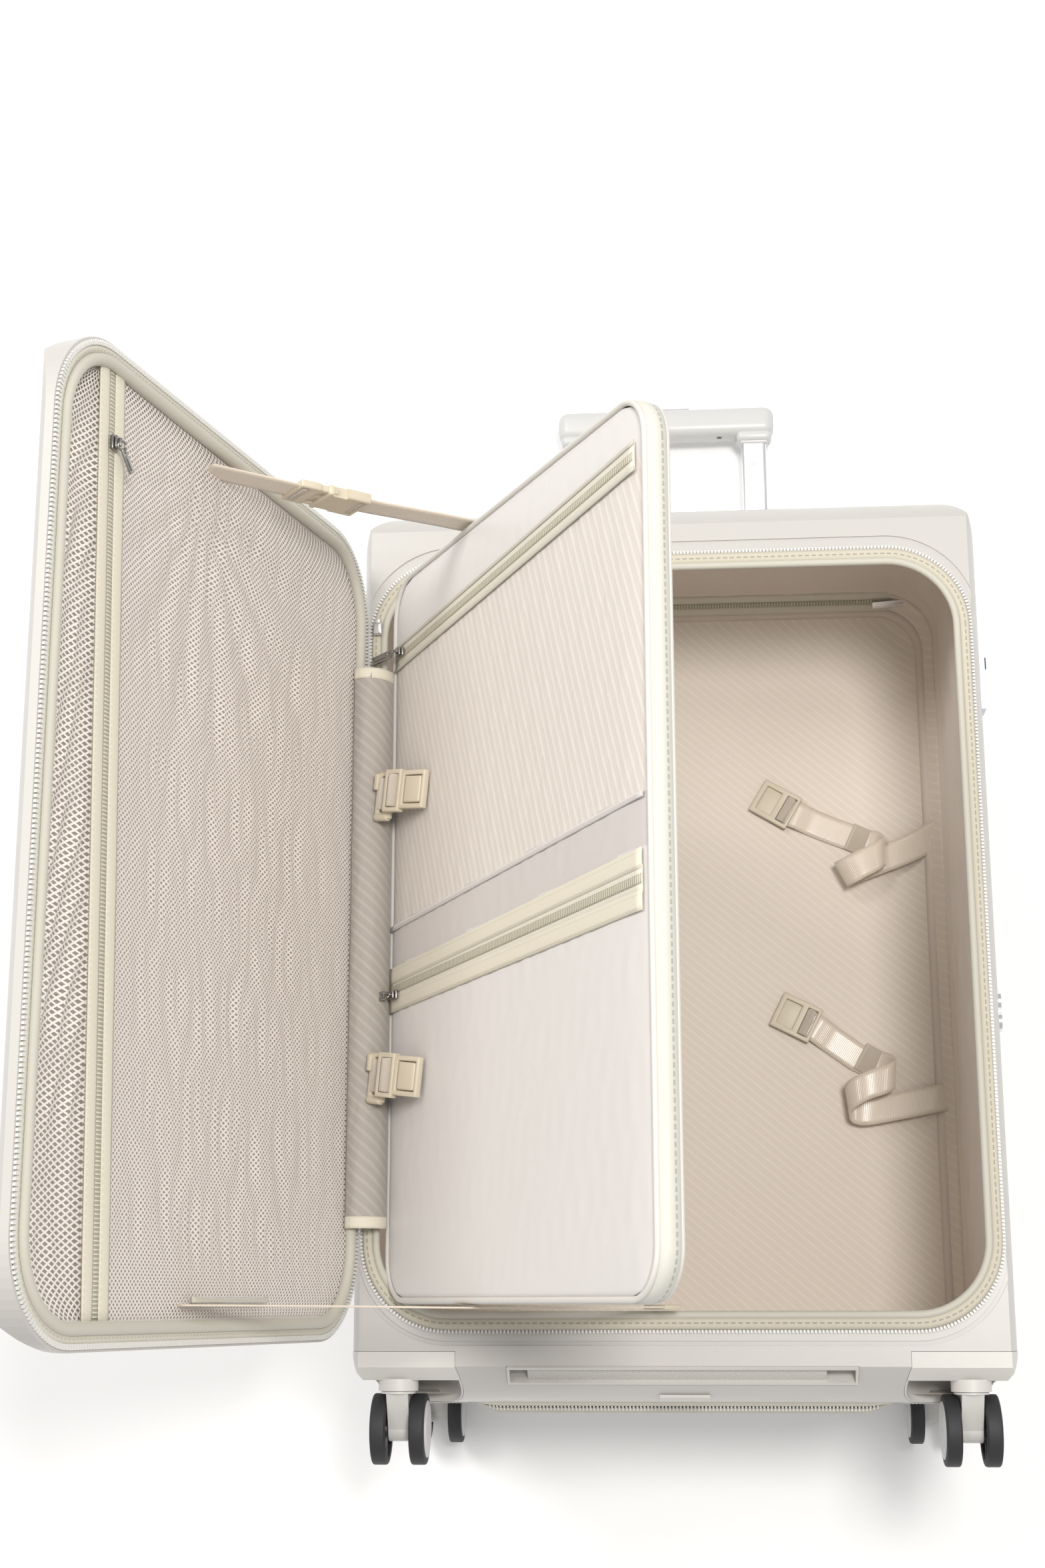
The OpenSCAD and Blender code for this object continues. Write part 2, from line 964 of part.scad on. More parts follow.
module fork(sx, z) {
  color([0.72, 0.71, 0.7])
    translate([sx * caster_x, 0, z]) {
      y_cyl(13, wheel_top + 0.4, crown_y);
      translate([-fork_w / 2, 0, 0])
        rotate([90, 0, 90])
          linear_extrude(fork_w) {
            polygon([[wheel_top + 1, -12], [wheel_top + 1, 10], [axle_y, -trail + 9],
              [axle_y, -trail - 9]]);
            translate([axle_y, -trail])
              circle(9);
          }
      translate([0, axle_y, -trail])
        x_cyl(axle_r, -twin_gap / 2 - tyre_w / 2 - 1, twin_gap / 2 + tyre_w / 2 + 1);
    }
}

module fork_fl() {
  fork(-1, front_z);
}

module fork_fr() {
  fork(1, front_z);
}

module fork_rl() {
  fork(-1, rear_set);
}

module fork_rr() {
  fork(1, rear_set);
}

module wheel(sx, z, s) {
  color([0.16, 0.16, 0.17])
    translate([sx * caster_x + s * twin_gap / 2, axle_y, z - trail])
      difference() {
        x_cyl(wheel_r, -tyre_w / 2, tyre_w / 2);
        x_cyl(axle_r + run_gap, -tyre_w, tyre_w);
        x_cyl(hub_r - 3, s > 0 ? tyre_w / 2 - 1.5 : -tyre_w, s > 0 ? tyre_w : -tyre_w / 2 + 1.5);
      }
}

module wheel_fl_out() {
  wheel(-1, front_z, -1);
}

module wheel_fl_in() {
  wheel(-1, front_z, 1);
}

module wheel_fr_out() {
  wheel(1, front_z, 1);
}

module wheel_fr_in() {
  wheel(1, front_z, -1);
}

module wheel_rl_out() {
  wheel(-1, rear_set, -1);
}

module wheel_rl_in() {
  wheel(-1, rear_set, 1);
}

module wheel_rr_out() {
  wheel(1, rear_set, 1);
}

module wheel_rr_in() {
  wheel(1, rear_set, -1);
}

// ---- parts ----

rear_shell();
front_ring();
expansion_zip_rear();
expansion_zip_front();
gusset();
rear_lining();
front_lining();
back_panel();
back_zip_slider();
rim_binding();
rim_zip();
outer_tubes();
mid_tubes();
inner_tubes();
grip();
grip_button();
handle_cup();
carry_mounts();
top_handle();
side_handle();
side_feet();
base_fittings();
lid_shell();
lid_binding();
lid_zip();
lid_mesh();
lid_zip_slider();
divider();
divider_slider_upper();
divider_slider_lower();
buckle_left_upper();
buckle_left_lower();
strap_right_upper();
strap_right_lower();
buckle_right_upper();
buckle_right_lower();
check_straps();
check_buckle();
hinge_cover();
lock_case();
lock_button();
lock_dial_1();
lock_dial_2();
lock_dial_3();
expansion_slider_a();
expansion_slider_b();
caster_base_front();
caster_base_rear();
fork_fl();
fork_fr();
fork_rl();
fork_rr();
wheel_fl_out();
wheel_fl_in();
wheel_fr_out();
wheel_fr_in();
wheel_rl_out();
wheel_rl_in();
wheel_rr_out();
wheel_rr_in();
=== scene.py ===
import json
import math

import bpy
import numpy as np
from mathutils import Matrix, Vector


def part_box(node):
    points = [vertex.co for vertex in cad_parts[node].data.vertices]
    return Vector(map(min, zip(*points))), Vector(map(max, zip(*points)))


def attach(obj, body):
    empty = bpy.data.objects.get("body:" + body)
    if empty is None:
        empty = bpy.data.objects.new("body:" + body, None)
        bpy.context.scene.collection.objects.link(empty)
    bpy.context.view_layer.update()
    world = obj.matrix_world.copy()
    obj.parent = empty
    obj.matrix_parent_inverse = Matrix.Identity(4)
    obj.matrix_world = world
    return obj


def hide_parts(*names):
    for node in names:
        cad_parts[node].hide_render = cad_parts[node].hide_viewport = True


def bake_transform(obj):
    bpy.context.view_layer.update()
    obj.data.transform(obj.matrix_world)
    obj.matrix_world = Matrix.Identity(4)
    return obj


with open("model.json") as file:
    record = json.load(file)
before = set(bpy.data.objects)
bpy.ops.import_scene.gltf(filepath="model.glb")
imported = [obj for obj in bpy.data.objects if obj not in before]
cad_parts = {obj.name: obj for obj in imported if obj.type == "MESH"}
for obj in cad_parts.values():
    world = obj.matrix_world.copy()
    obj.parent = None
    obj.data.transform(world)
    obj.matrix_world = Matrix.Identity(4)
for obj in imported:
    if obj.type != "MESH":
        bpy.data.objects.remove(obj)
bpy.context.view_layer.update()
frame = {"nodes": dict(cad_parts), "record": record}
bpy.ops.object.select_all(action="DESELECT")

MM = 0.001
joints = {j["name"]: j for j in frame["record"]["behaviour"]["joints"]}

# ---------------------------------------------------------------- sizes, mm

HALF_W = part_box("rear_shell")[1].x / MM
HALF_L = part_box("rear_shell")[1].y / MM
RIM_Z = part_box("front_ring")[1].z / MM
SEAM_Z = (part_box("rear_shell")[1].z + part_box("front_ring")[0].z) / 2 / MM
OPEN_X, OPEN_Y, OPEN_R = HALF_W - 16, HALF_L - 56, 62
PANEL_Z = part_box("back_panel")[1].z / MM
HINGE = np.array(joints["lid_hinge"]["pos_m"]) / MM
DIV = np.array(joints["divider_hinge"]["pos_m"]) / MM
LID_A = math.radians(joints["lid_hinge"]["range_deg"][1])
DIV_A = math.radians(joints["divider_hinge"]["range_deg"][1])
LID_Z = HINGE[2] + 2
LID_X, LID_Y = OPEN_X + 5.5, OPEN_Y + 9
DIV_W, DIV_T, DIV_L = 437, 17.5, 574

# ---------------------------------------------------------------- placing


def as_built(p):
    return np.asarray(p, float)


def in_lid(p):
    """Closed-lid coordinates, swung to the open lid."""
    p = np.asarray(p, float)
    dx, dz = p[..., 0] - HINGE[0], p[..., 2] - HINGE[2]
    c, s = math.cos(LID_A), math.sin(LID_A)
    return np.stack([HINGE[0] + dx * c - dz * s, p[..., 1], HINGE[2] + dx * s + dz * c], -1)


def in_divider(p):
    """Across the divider, along it, out of its outer face."""
    p = np.asarray(p, float)
    c, s = math.cos(DIV_A), math.sin(DIV_A)
    return np.stack([DIV[0] + p[..., 0] * c - p[..., 2] * s, p[..., 1],
                     DIV[2] + p[..., 0] * s + p[..., 2] * c], -1)


# ---------------------------------------------------------------- node groups


def new_group(name, inputs, outputs):
    g = bpy.data.node_groups.new(name, "ShaderNodeTree")
    for n, kind, value in inputs:
        s = g.interface.new_socket(name=n, in_out="INPUT", socket_type=kind)
        if value is not None:
            s.default_value = value
    for n, kind in outputs:
        g.interface.new_socket(name=n, in_out="OUTPUT", socket_type=kind)
    return g, g.nodes.new("NodeGroupInput"), g.nodes.new("NodeGroupOutput")


def calc(g, op, a, b=None, c=None):
    n = g.nodes.new("ShaderNodeMath")
    n.operation = op
    for i, v in enumerate((a, b, c)):
        if v is None:
            continue
        if isinstance(v, (int, float)):
            n.inputs[i].default_value = v
        else:
            g.links.new(v, n.inputs[i])
    return n.outputs[0]


def split(g, vector):
    n = g.nodes.new("ShaderNodeSeparateXYZ")
    g.links.new(vector, n.inputs[0])
    return n.outputs[0], n.outputs[1], n.outputs[2]


F, V, C = "NodeSocketFloat", "NodeSocketVector", "NodeSocketColor"


def weave_group():
    g, i, o = new_group("plain weave", [("Vector", V, None), ("Threads per m", F, 2000.0)], [("Height", F)])
    x, y, _ = split(g, i.outputs["Vector"])
    f = calc(g, "MULTIPLY", i.outputs["Threads per m"], 2 * math.pi)
    a = calc(g, "SINE", calc(g, "MULTIPLY", x, f))
    b = calc(g, "SINE", calc(g, "MULTIPLY", y, f))
    g.links.new(calc(g, "MULTIPLY_ADD", calc(g, "MULTIPLY", a, b), 0.5, 0.5), o.inputs["Height"])
    return g


def stripe_group():
    g, i, o = new_group("diagonal stripe",
                        [("Vector", V, None), ("Pitch", F, 0.008), ("Slope", F, 0.8), ("Width", F, 0.3)],
                        [("Mask", F)])
    x, y, _ = split(g, i.outputs["Vector"])
    t = calc(g, "ADD", calc(g, "MULTIPLY", x, i.outputs["Slope"]), y)
    t = calc(g, "FRACT", calc(g, "DIVIDE", t, i.outputs["Pitch"]))
    d = calc(g, "ABSOLUTE", calc(g, "SUBTRACT", t, 0.5))
    m = calc(g, "SUBTRACT", 1.0, calc(g, "DIVIDE", d, i.outputs["Width"]))
    n = calc(g, "MULTIPLY", m, 2.0)
    n = calc(g, "MINIMUM", calc(g, "MAXIMUM", n, 0.0), 1.0)
    g.links.new(n, o.inputs["Mask"])
    return g


def stitch_group():
    g, i, o = new_group("stitch row",
                        [("Vector", V, None), ("Pitch", F, 0.0045), ("Across", F, 0.004), ("Half width", F, 0.0005)],
                        [("Mask", F)])
    x, y, _ = split(g, i.outputs["Vector"])
    t = calc(g, "FRACT", calc(g, "DIVIDE", x, i.outputs["Pitch"]))
    dash = calc(g, "LESS_THAN", t, 0.62)
    near = calc(g, "LESS_THAN", calc(g, "ABSOLUTE", calc(g, "SUBTRACT", y, i.outputs["Across"])),
                i.outputs["Half width"])
    g.links.new(calc(g, "MULTIPLY", dash, near), o.inputs["Mask"])
    return g


def net_group():
    g, i, o = new_group("diamond net", [("Vector", V, None), ("Wide", F, 0.005), ("Tall", F, 0.004),
                                        ("Thread", F, 0.3)], [("Mask", F)])
    x, y, _ = split(g, i.outputs["Vector"])
    u = calc(g, "DIVIDE", x, i.outputs["Wide"])
    v = calc(g, "DIVIDE", y, i.outputs["Tall"])
    a = calc(g, "ABSOLUTE", calc(g, "SUBTRACT", calc(g, "FRACT", calc(g, "ADD", u, v)), 0.5))
    b = calc(g, "ABSOLUTE", calc(g, "SUBTRACT", calc(g, "FRACT", calc(g, "SUBTRACT", u, v)), 0.5))
    m = calc(g, "MINIMUM", a, b)
    g.links.new(calc(g, "LESS_THAN", m, i.outputs["Thread"]), o.inputs["Mask"])
    return g


def cloud_group():
    g, i, o = new_group("soft mottle", [("Vector", V, None), ("Scale", F, 12.0)], [("Value", F)])
    n = g.nodes.new("ShaderNodeTexNoise")
    n.inputs["Detail"].default_value = 4.0
    g.links.new(i.outputs["Vector"], n.inputs["Vector"])
    g.links.new(i.outputs["Scale"], n.inputs["Scale"])
    g.links.new(n.outputs[0], o.inputs["Value"])
    return g


WEAVE, STRIPE, STITCH, NET, MOTTLE = weave_group(), stripe_group(), stitch_group(), net_group(), cloud_group()

# ---------------------------------------------------------------- finishes


class Finish:
    """One material: a Principled shader with patterns feeding its colour and bump."""

    def __init__(self, name, colour, rough, uv=False, metal=0.0, sheen=0.0, spec=None, coat=0.0):
        self.m = bpy.data.materials.new(name)
        self.m.use_nodes = True
        self.t = self.m.node_tree
        self.b = self.t.nodes["Principled BSDF"]
        self.b.inputs["Base Color"].default_value = (*colour, 1)
        self.b.inputs["Roughness"].default_value = rough
        self.b.inputs["Metallic"].default_value = metal
        if sheen:
            self.b.inputs["Sheen Weight"].default_value = sheen
            self.b.inputs["Sheen Roughness"].default_value = 0.4
        if spec is not None:
            self.b.inputs["Specular IOR Level"].default_value = spec
        if coat:
            self.b.inputs["Coat Weight"].default_value = coat
            self.b.inputs["Coat Roughness"].default_value = 0.2
        tex = self.t.nodes.new("ShaderNodeTexCoord")
        self.at = tex.outputs["UV" if uv else "Object"]
        self.colour, self.height = None, None
        self.base = colour

    def turned(self, x=0.0, y=0.0, z=0.0, scale=(1, 1, 1)):
        n = self.t.nodes.new("ShaderNodeMapping")
        n.inputs["Rotation"].default_value = (x, y, z)
        n.inputs["Scale"].default_value = scale
        self.t.links.new(self.at, n.inputs["Vector"])
        return n.outputs[0]

    def pattern(self, group, at=None, **values):
        n = self.t.nodes.new("ShaderNodeGroup")
        n.node_tree = group
        self.t.links.new(at or self.at, n.inputs["Vector"])
        for k, v in values.items():
            n.inputs[k.replace("_", " ")].default_value = v
        return n.outputs[0]

    def tint(self, mask, colour, amount=1.0):
        """Mix a second colour in where the mask is."""
        n = self.t.nodes.new("ShaderNodeMix")
        n.data_type = "RGBA"
        fac = calc(self.t, "MULTIPLY", mask, amount)
        self.t.links.new(fac, n.inputs[0])
        if self.colour is None:
            n.inputs[6].default_value = (*self.base, 1)
        else:
            self.t.links.new(self.colour, n.inputs[6])
        n.inputs[7].default_value = (*colour, 1)
        self.colour = n.outputs[2]
        return self

    def raise_by(self, mask, mm):
        h = calc(self.t, "MULTIPLY", mask, mm * MM)
        self.height = h if self.height is None else calc(self.t, "ADD", self.height, h)
        return self

    def rough_by(self, mask, low, high):
        n = calc(self.t, "MULTIPLY_ADD", mask, high - low, low)
        self.t.links.new(n, self.b.inputs["Roughness"])
        return self

    def done(self, strength=1.0):
        if self.colour is not None:
            self.t.links.new(self.colour, self.b.inputs["Base Color"])
        if self.height is not None:
            n = self.t.nodes.new("ShaderNodeBump")
            n.inputs["Strength"].default_value = strength
            n.inputs["Distance"].default_value = 1.0
            self.t.links.new(self.height, n.inputs["Height"])
            self.t.links.new(n.outputs[0], self.b.inputs["Normal"])
        return self.m


def moulded(name, colour, rough, grain=0.02, spec=0.5, coat=0.0):
    f = Finish(name, colour, rough, spec=spec, coat=coat)
    m = f.pattern(MOTTLE, Scale=9.0)
    f.tint(m, tuple(c * 0.93 for c in colour), 0.5)
    f.rough_by(f.pattern(MOTTLE, Scale=40.0), rough - 0.05, rough + 0.07)
    f.raise_by(f.pattern(MOTTLE, Scale=900.0), grain)
    return f.done(0.6)


def metal(name, colour, rough):
    f = Finish(name, colour, rough, metal=1.0)
    f.rough_by(f.pattern(MOTTLE, Scale=120.0), rough - 0.06, rough + 0.12)
    return f.done()


def cloth(name, colour, rough=0.75, threads=1500.0, depth=0.06, sheen=0.25, stripe=None, second=None,
          slope=0.8, pitch=0.009, width=0.32, amount=0.5, mottle=0.4):
    f = Finish(name, colour, rough, uv=True, sheen=sheen, spec=0.35)
    f.tint(f.pattern(MOTTLE, Scale=14.0), tuple(c * 0.9 for c in colour), mottle)
    if second:
        s = f.pattern(STRIPE, Pitch=pitch, Slope=slope, Width=width)
        f.tint(s, second, amount)
        f.raise_by(s, 0.12)
    w = f.pattern(WEAVE, Threads_per_m=threads)
    f.tint(w, tuple(c * 0.9 for c in colour), 0.25)
    f.raise_by(w, depth)
    return f.done()


def tape(name, colour, rows, rough=0.7, stitch=(0.45, 0.42, 0.34), threads=1300.0, pitch=0.0045, half=0.0005):
    """Woven tape with rows of stitches at the given distances across it."""
    f = Finish(name, colour, rough, uv=True, sheen=0.2, spec=0.35)
    w = f.pattern(WEAVE, Threads_per_m=threads)
    f.tint(w, tuple(c * 0.88 for c in colour), 0.35)
    f.raise_by(w, 0.07)
    for at in rows:
        m = f.pattern(STITCH, Pitch=pitch, Across=at, Half_width=half)
        f.tint(m, stitch, 0.75)
        f.raise_by(m, -0.25)
    return f.done()


def ribbed(name, colour, rough):
    """Satin webbing with fine ribs across its run."""
    f = Finish(name, colour, rough, uv=True, sheen=0.5, spec=0.6)
    r = f.pattern(STRIPE, at=f.turned(z=math.pi / 2), Pitch=0.0016, Slope=0.0, Width=0.45)
    f.tint(r, tuple(c * 0.82 for c in colour), 0.6)
    f.raise_by(r, 0.16)
    return f.done(0.7)


def net(name, colour, wide, tall, thread):
    f = Finish(name, colour, 0.7, uv=True, sheen=0.2, spec=0.3)
    m = f.pattern(NET, Wide=wide, Tall=tall, Thread=thread)
    f.t.links.new(m, f.b.inputs["Alpha"])
    f.tint(f.pattern(MOTTLE, Scale=10.0), tuple(c * 0.88 for c in colour), 0.5)
    return f.done()


def teeth_cloth(name, colour, dark, pitch=0.0026):
    """Zip coil seen from above: ribs across the run."""
    f = Finish(name, colour, 0.55, uv=True, spec=0.4)
    s = f.pattern(STRIPE, Pitch=pitch, Slope=0.0, Width=0.34, at=f.turned(z=math.pi / 2))
    f.tint(calc(f.t, "SUBTRACT", 1.0, s), dark, 0.8)
    f.raise_by(s, 0.5)
    return f.done()


SHELL = moulded("shell satin", (0.505, 0.488, 0.462), 0.36, grain=0.010, coat=0.2)
TRIM = moulded("base plastic", (0.610, 0.594, 0.560), 0.42)
GRIP = moulded("grip plastic", (0.600, 0.600, 0.590), 0.34)
CUP = moulded("cup plastic", (0.42, 0.42, 0.42), 0.5)
RUBBER = moulded("soft handle", (0.60, 0.58, 0.54), 0.6)
BUCKLE = moulded("buckle plastic", (0.600, 0.535, 0.415), 0.45)
LOCK = metal("lock plate", (0.56, 0.60, 0.65), 0.32)
DARK = moulded("dark plastic", (0.045, 0.045, 0.05), 0.5)
FORK = moulded("fork plastic", (0.62, 0.607, 0.58), 0.4)
TYRE = moulded("tyre rubber", (0.022, 0.022, 0.024), 0.62, grain=0.03)
HUB = moulded("hub plastic", (0.60, 0.60, 0.60), 0.38)
NICKEL = metal("dark nickel", (0.32, 0.31, 0.30), 0.28)
CHROME = metal("bright ring metal", (0.78, 0.79, 0.80), 0.18)
TUBE = metal("anodised tube", (0.84, 0.85, 0.86), 0.34)
PIPING = cloth("piping cloth", (0.530, 0.508, 0.438), 0.62, threads=900.0, depth=0.03, mottle=0.2)
PIPING_GREY = cloth("divider piping cloth", (0.62, 0.60, 0.56), 0.6, threads=900.0, depth=0.03, mottle=0.2)
BIND = tape("stitched binding tape", (0.560, 0.520, 0.425), [0.0048], pitch=0.0055, stitch=(0.30, 0.27, 0.21))
BIND_LID = tape("lid binding tape", (0.600, 0.580, 0.495), [0.0045])
EDGE = tape("divider edge tape", (0.610, 0.600, 0.540), [0.0085], pitch=0.0052, half=0.0007, stitch=(0.36, 0.35, 0.29))
RIBBON = tape("cream ribbon", (0.700, 0.655, 0.540), [0.0018, 0.0102], stitch=(0.60, 0.56, 0.45))
ZIP_TAPE = tape("zip tape", (0.690, 0.655, 0.560), [], threads=1600.0)
ZIP_TAPE_GREY = tape("waist zip tape", (0.60, 0.585, 0.55), [], threads=1600.0)
LINING = cloth("striped lining", (0.750, 0.670, 0.580), 0.6, second=(0.84, 0.775, 0.70), slope=0.85,
               pitch=0.0085, width=0.22, amount=0.42, sheen=0.35)
POCKET = cloth("striped pocket cloth", (0.665, 0.610, 0.560), 0.55, second=(0.76, 0.715, 0.67), slope=2.4,
               pitch=0.021, width=0.24, amount=0.6, sheen=0.35)
HINGE_CLOTH = cloth("striped hinge cloth", (0.385, 0.352, 0.318), 0.6, second=(0.51, 0.465, 0.405), slope=1.2,
                    pitch=0.011, width=0.25, amount=0.45)
SIDE = cloth("side lining", (0.720, 0.635, 0.560), 0.5, threads=1800.0, depth=0.03, sheen=0.45, mottle=0.5)
SATIN = cloth("satin panel", (0.665, 0.640, 0.622), 0.42, threads=2400.0, depth=0.015, sheen=0.5, mottle=0.25)
GREY_BAND = cloth("lilac grey cloth", (0.56, 0.525, 0.505), 0.5, threads=2400.0, depth=0.015, sheen=0.4, mottle=0.2)
NET_FINE = net("fine net", (0.76, 0.715, 0.675), 0.0050, 0.0040, 0.19)
NET_WIDE = net("wide net", (0.78, 0.745, 0.70), 0.0072, 0.0044, 0.17)
NET_BACK = cloth("lid lining", (0.76, 0.685, 0.635), 0.6, threads=1500.0, depth=0.04, mottle=0.5)
WEB = ribbed("satin webbing", (0.740, 0.650, 0.540), 0.27)
COIL = teeth_cloth("zip coil", (0.62, 0.59, 0.47), (0.30, 0.28, 0.21))
TEETH_WHITE = moulded("white teeth", (0.70, 0.69, 0.66), 0.4, grain=0.0)
GUSSET = cloth("gusset cloth", (0.50, 0.46, 0.40), 0.7)

# ---------------------------------------------------------------- making pieces


def keep(obj, material, body=None, *nodes, slot=None):
    """Give a new piece its finish, its body, and the CAD nodes it stands for."""
    if material is not None:
        obj.data.materials.clear()
        obj.data.materials.append(material)
    if body:
        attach(obj, body)
    if nodes:
        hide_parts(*nodes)
    return obj


def surface(name, p, u, v, close_u=False, close_v=False, smooth=True):
    """A mesh from rows of points in mm, with a UV map in metres."""
    rows, cols = p.shape[:2]
    faces, uvs = [], []
    nr, nc = rows if close_v else rows - 1, cols if close_u else cols - 1
    uu = np.append(u, 2 * u[-1] - u[-2]) if close_u else u
    vv = np.append(v, 2 * v[-1] - v[-2]) if close_v else v
    for r in range(nr):
        for c in range(nc):
            r1, c1 = (r + 1) % rows, (c + 1) % cols
            faces.append((r * cols + c, r * cols + c1, r1 * cols + c1, r1 * cols + c))
            uvs += [(uu[c], vv[r]), (uu[c + 1], vv[r]), (uu[c + 1], vv[r + 1]), (uu[c], vv[r + 1])]
    mesh = bpy.data.meshes.new(name)
    mesh.from_pydata((p.reshape(-1, 3) * MM).tolist(), [], faces)
    layer = mesh.uv_layers.new(name="UVMap")
    layer.data.foreach_set("uv", (np.array(uvs) * MM).ravel())
    mesh.validate()
    obj = bpy.data.objects.new(name, mesh)
    bpy.context.scene.collection.objects.link(obj)
    if smooth:
        mesh.shade_smooth()
    return obj


def apply(obj, kind, **values):
    m = obj.modifiers.new(kind.lower(), kind)
    for k, v in values.items():
        setattr(m, k, v)
    with bpy.context.temp_override(object=obj, active_object=obj, selected_objects=[obj]):
        bpy.ops.object.modifier_apply(modifier=m.name)
    return obj


def thicken(obj, mm, offset=0.0):
    return apply(obj, "SOLIDIFY", thickness=mm * MM, offset=offset)


def rounded(hx, hy, r, corner=12, side=24, cx=0.0, cy=0.0):
    """Points round a rounded rectangle, anticlockwise from the right side."""
    pts = []
    for sx, sy, a0 in ((1, 1, 0), (-1, 1, 90), (-1, -1, 180), (1, -1, 270)):
        ax, ay = cx + sx * (hx - r), cy + sy * (hy - r)
        for i in range(corner + 1):
            a = math.radians(a0 + 90 * i / corner)
            pts.append((ax + r * math.cos(a), ay + r * math.sin(a)))
        nx, ny, na = {0: (-1, 1, 90), 90: (-1, -1, 180), 180: (1, -1, 270), 270: (1, 1, 0)}[a0]
        a = math.radians(na)
        bx, by = cx + nx * (hx - r) + r * math.cos(a), cy + ny * (hy - r) + r * math.sin(a)
        x0, y0 = pts[-1]
        for i in range(1, side):
            pts.append((x0 + (bx - x0) * i / side, y0 + (by - y0) * i / side))
    return np.array(pts)


def run_length(p):
    d = np.linalg.norm(np.diff(p, axis=0), axis=1)
    return np.concatenate([[0], np.cumsum(d)])


def hoops(name, sections, place, close_v=False, corner=12, side=24, cx=0.0, cy=0.0, wave=None):
    """A skin through rounded-rectangle hoops, each (half x, half y, radius, z)."""
    rows = []
    for hx, hy, r, z in sections:
        q = rounded(hx, hy, r, corner, side, cx, cy)
        rows.append(np.column_stack([q, np.full(len(q), z)]))
    p = np.array(rows)
    mid = rounded(*sections[len(sections) // 2][:3], corner, side)
    u = run_length(mid)
    v = run_length(p[:, 0, :])
    if wave is not None:
        p = wave(p, u, v)
    return surface(name, place(p), u, v, close_u=True, close_v=close_v)


def dish(name, sections, place, cx=0.0, cy=0.0, corner=12, side=30):
    """A skin through hoops that is closed in the middle, its cloth pattern laid on flat."""
    o = hoops(name, sections, place, corner=corner, side=side, cx=cx, cy=cy)
    n = len(rounded(1, 1, 0.1, corner, side))
    flat = np.vstack([rounded(*q[:3], corner, side, cx, cy) for q in sections]) * MM
    old = o.data
    faces = [tuple(f.vertices) for f in old.polygons] + [tuple(range((len(sections) - 1) * n, len(sections) * n))]
    mesh = bpy.data.meshes.new(name)
    mesh.from_pydata([tuple(v.co) for v in old.vertices], [], faces)
    layer = mesh.uv_layers.new(name="UVMap")
    for lp in mesh.loops:
        layer.data[lp.index].uv = flat[lp.vertex_index]
    mesh.shade_smooth()
    o.data = mesh
    bpy.data.meshes.remove(old)
    return o


def piping(name, hx, hy, r, z, rad, place, cx=0.0, cy=0.0, corner=14, side=30):
    ring = [(hx + rad * math.cos(a), hy + rad * math.cos(a), r + rad * math.cos(a), z + rad * math.sin(a))
            for a in np.linspace(0, 2 * math.pi, 10, endpoint=False)]
    return hoops(name, ring, place, close_v=True, corner=corner, side=side, cx=cx, cy=cy)


def blocks(name, centres, ux, uy, uz, size, place=as_built):
    """Many small boxes as one mesh: centres and unit axes in mm."""
    sx, sy, sz = (s / 2 for s in size)
    verts, faces = [], []
    order = [(-1, -1, -1), (1, -1, -1), (1, 1, -1), (-1, 1, -1), (-1, -1, 1), (1, -1, 1), (1, 1, 1), (-1, 1, 1)]
    quads = [(0, 3, 2, 1), (4, 5, 6, 7), (0, 1, 5, 4), (1, 2, 6, 5), (2, 3, 7, 6), (3, 0, 4, 7)]
    for c, a, b, d in zip(centres, ux, uy, uz):
        k = len(verts)
        for i, j, l in order:
            verts.append(c + a * sx * i + b * sy * j + d * sz * l)
        faces += [tuple(k + q for q in f) for f in quads]
    mesh = bpy.data.meshes.new(name)
    mesh.from_pydata((place(np.array(verts)) * MM).tolist(), [], faces)
    obj = bpy.data.objects.new(name, mesh)
    bpy.context.scene.collection.objects.link(obj)
    return obj


def teeth_round(name, hx, hy, r, z, pitch, size, place, cx=0.0, cy=0.0):
    q = rounded(hx, hy, r, 16, 40, cx, cy)
    q = np.vstack([q, q[:1]])
    s = run_length(q)
    n = int(s[-1] / pitch)
    t = (np.arange(n) + 0.5) * s[-1] / n
    x, y = np.interp(t, s, q[:, 0]), np.interp(t, s, q[:, 1])
    x2, y2 = np.interp(t + 0.5, s, q[:, 0]), np.interp(t + 0.5, s, q[:, 1])
    d = np.column_stack([x2 - x, y2 - y, 0 * x])
    d /= np.linalg.norm(d, axis=1)[:, None] + 1e-9
    up = np.tile([0, 0, 1.0], (n, 1))
    return blocks(name, np.column_stack([x, y, np.full(n, z)]), d, np.cross(up, d), up, size, place)


def ribbon(name, path, across, width, thick, material, body, place=as_built):
    """Webbing along a path of points, with its width along the given directions."""
    path, across = np.array(path, float), np.array(across, float)
    across /= np.linalg.norm(across, axis=1)[:, None]
    fine = np.linspace(0, 1, (len(path) - 1) * 6 + 1)
    p = smooth_through(path, fine)
    a = smooth_through(across, fine)
    a /= np.linalg.norm(a, axis=1)[:, None]
    cols = np.linspace(-0.5, 0.5, 7)
    grid = p[None, :, :] + cols[:, None, None] * width * a[None, :, :]
    obj = surface(name, place(grid), run_length(p), (cols + 0.5) * width)
    thicken(obj, thick)
    return keep(obj, material, body)


def smooth_through(p, fine):
    """Catmull-Rom through the points."""
    out = []
    n = len(p)
    for f in fine:
        i = min(int(f * (n - 1)), n - 2)
        s = f * (n - 1) - i
        p0, p1, p2, p3 = p[max(i - 1, 0)], p[i], p[i + 1], p[min(i + 2, n - 1)]
        out.append(0.5 * (2 * p1 + (p2 - p0) * s + (2 * p0 - 5 * p1 + 4 * p2 - p3) * s ** 2
                          + (3 * p1 - p0 - 3 * p2 + p3) * s ** 3))
    return np.array(out)


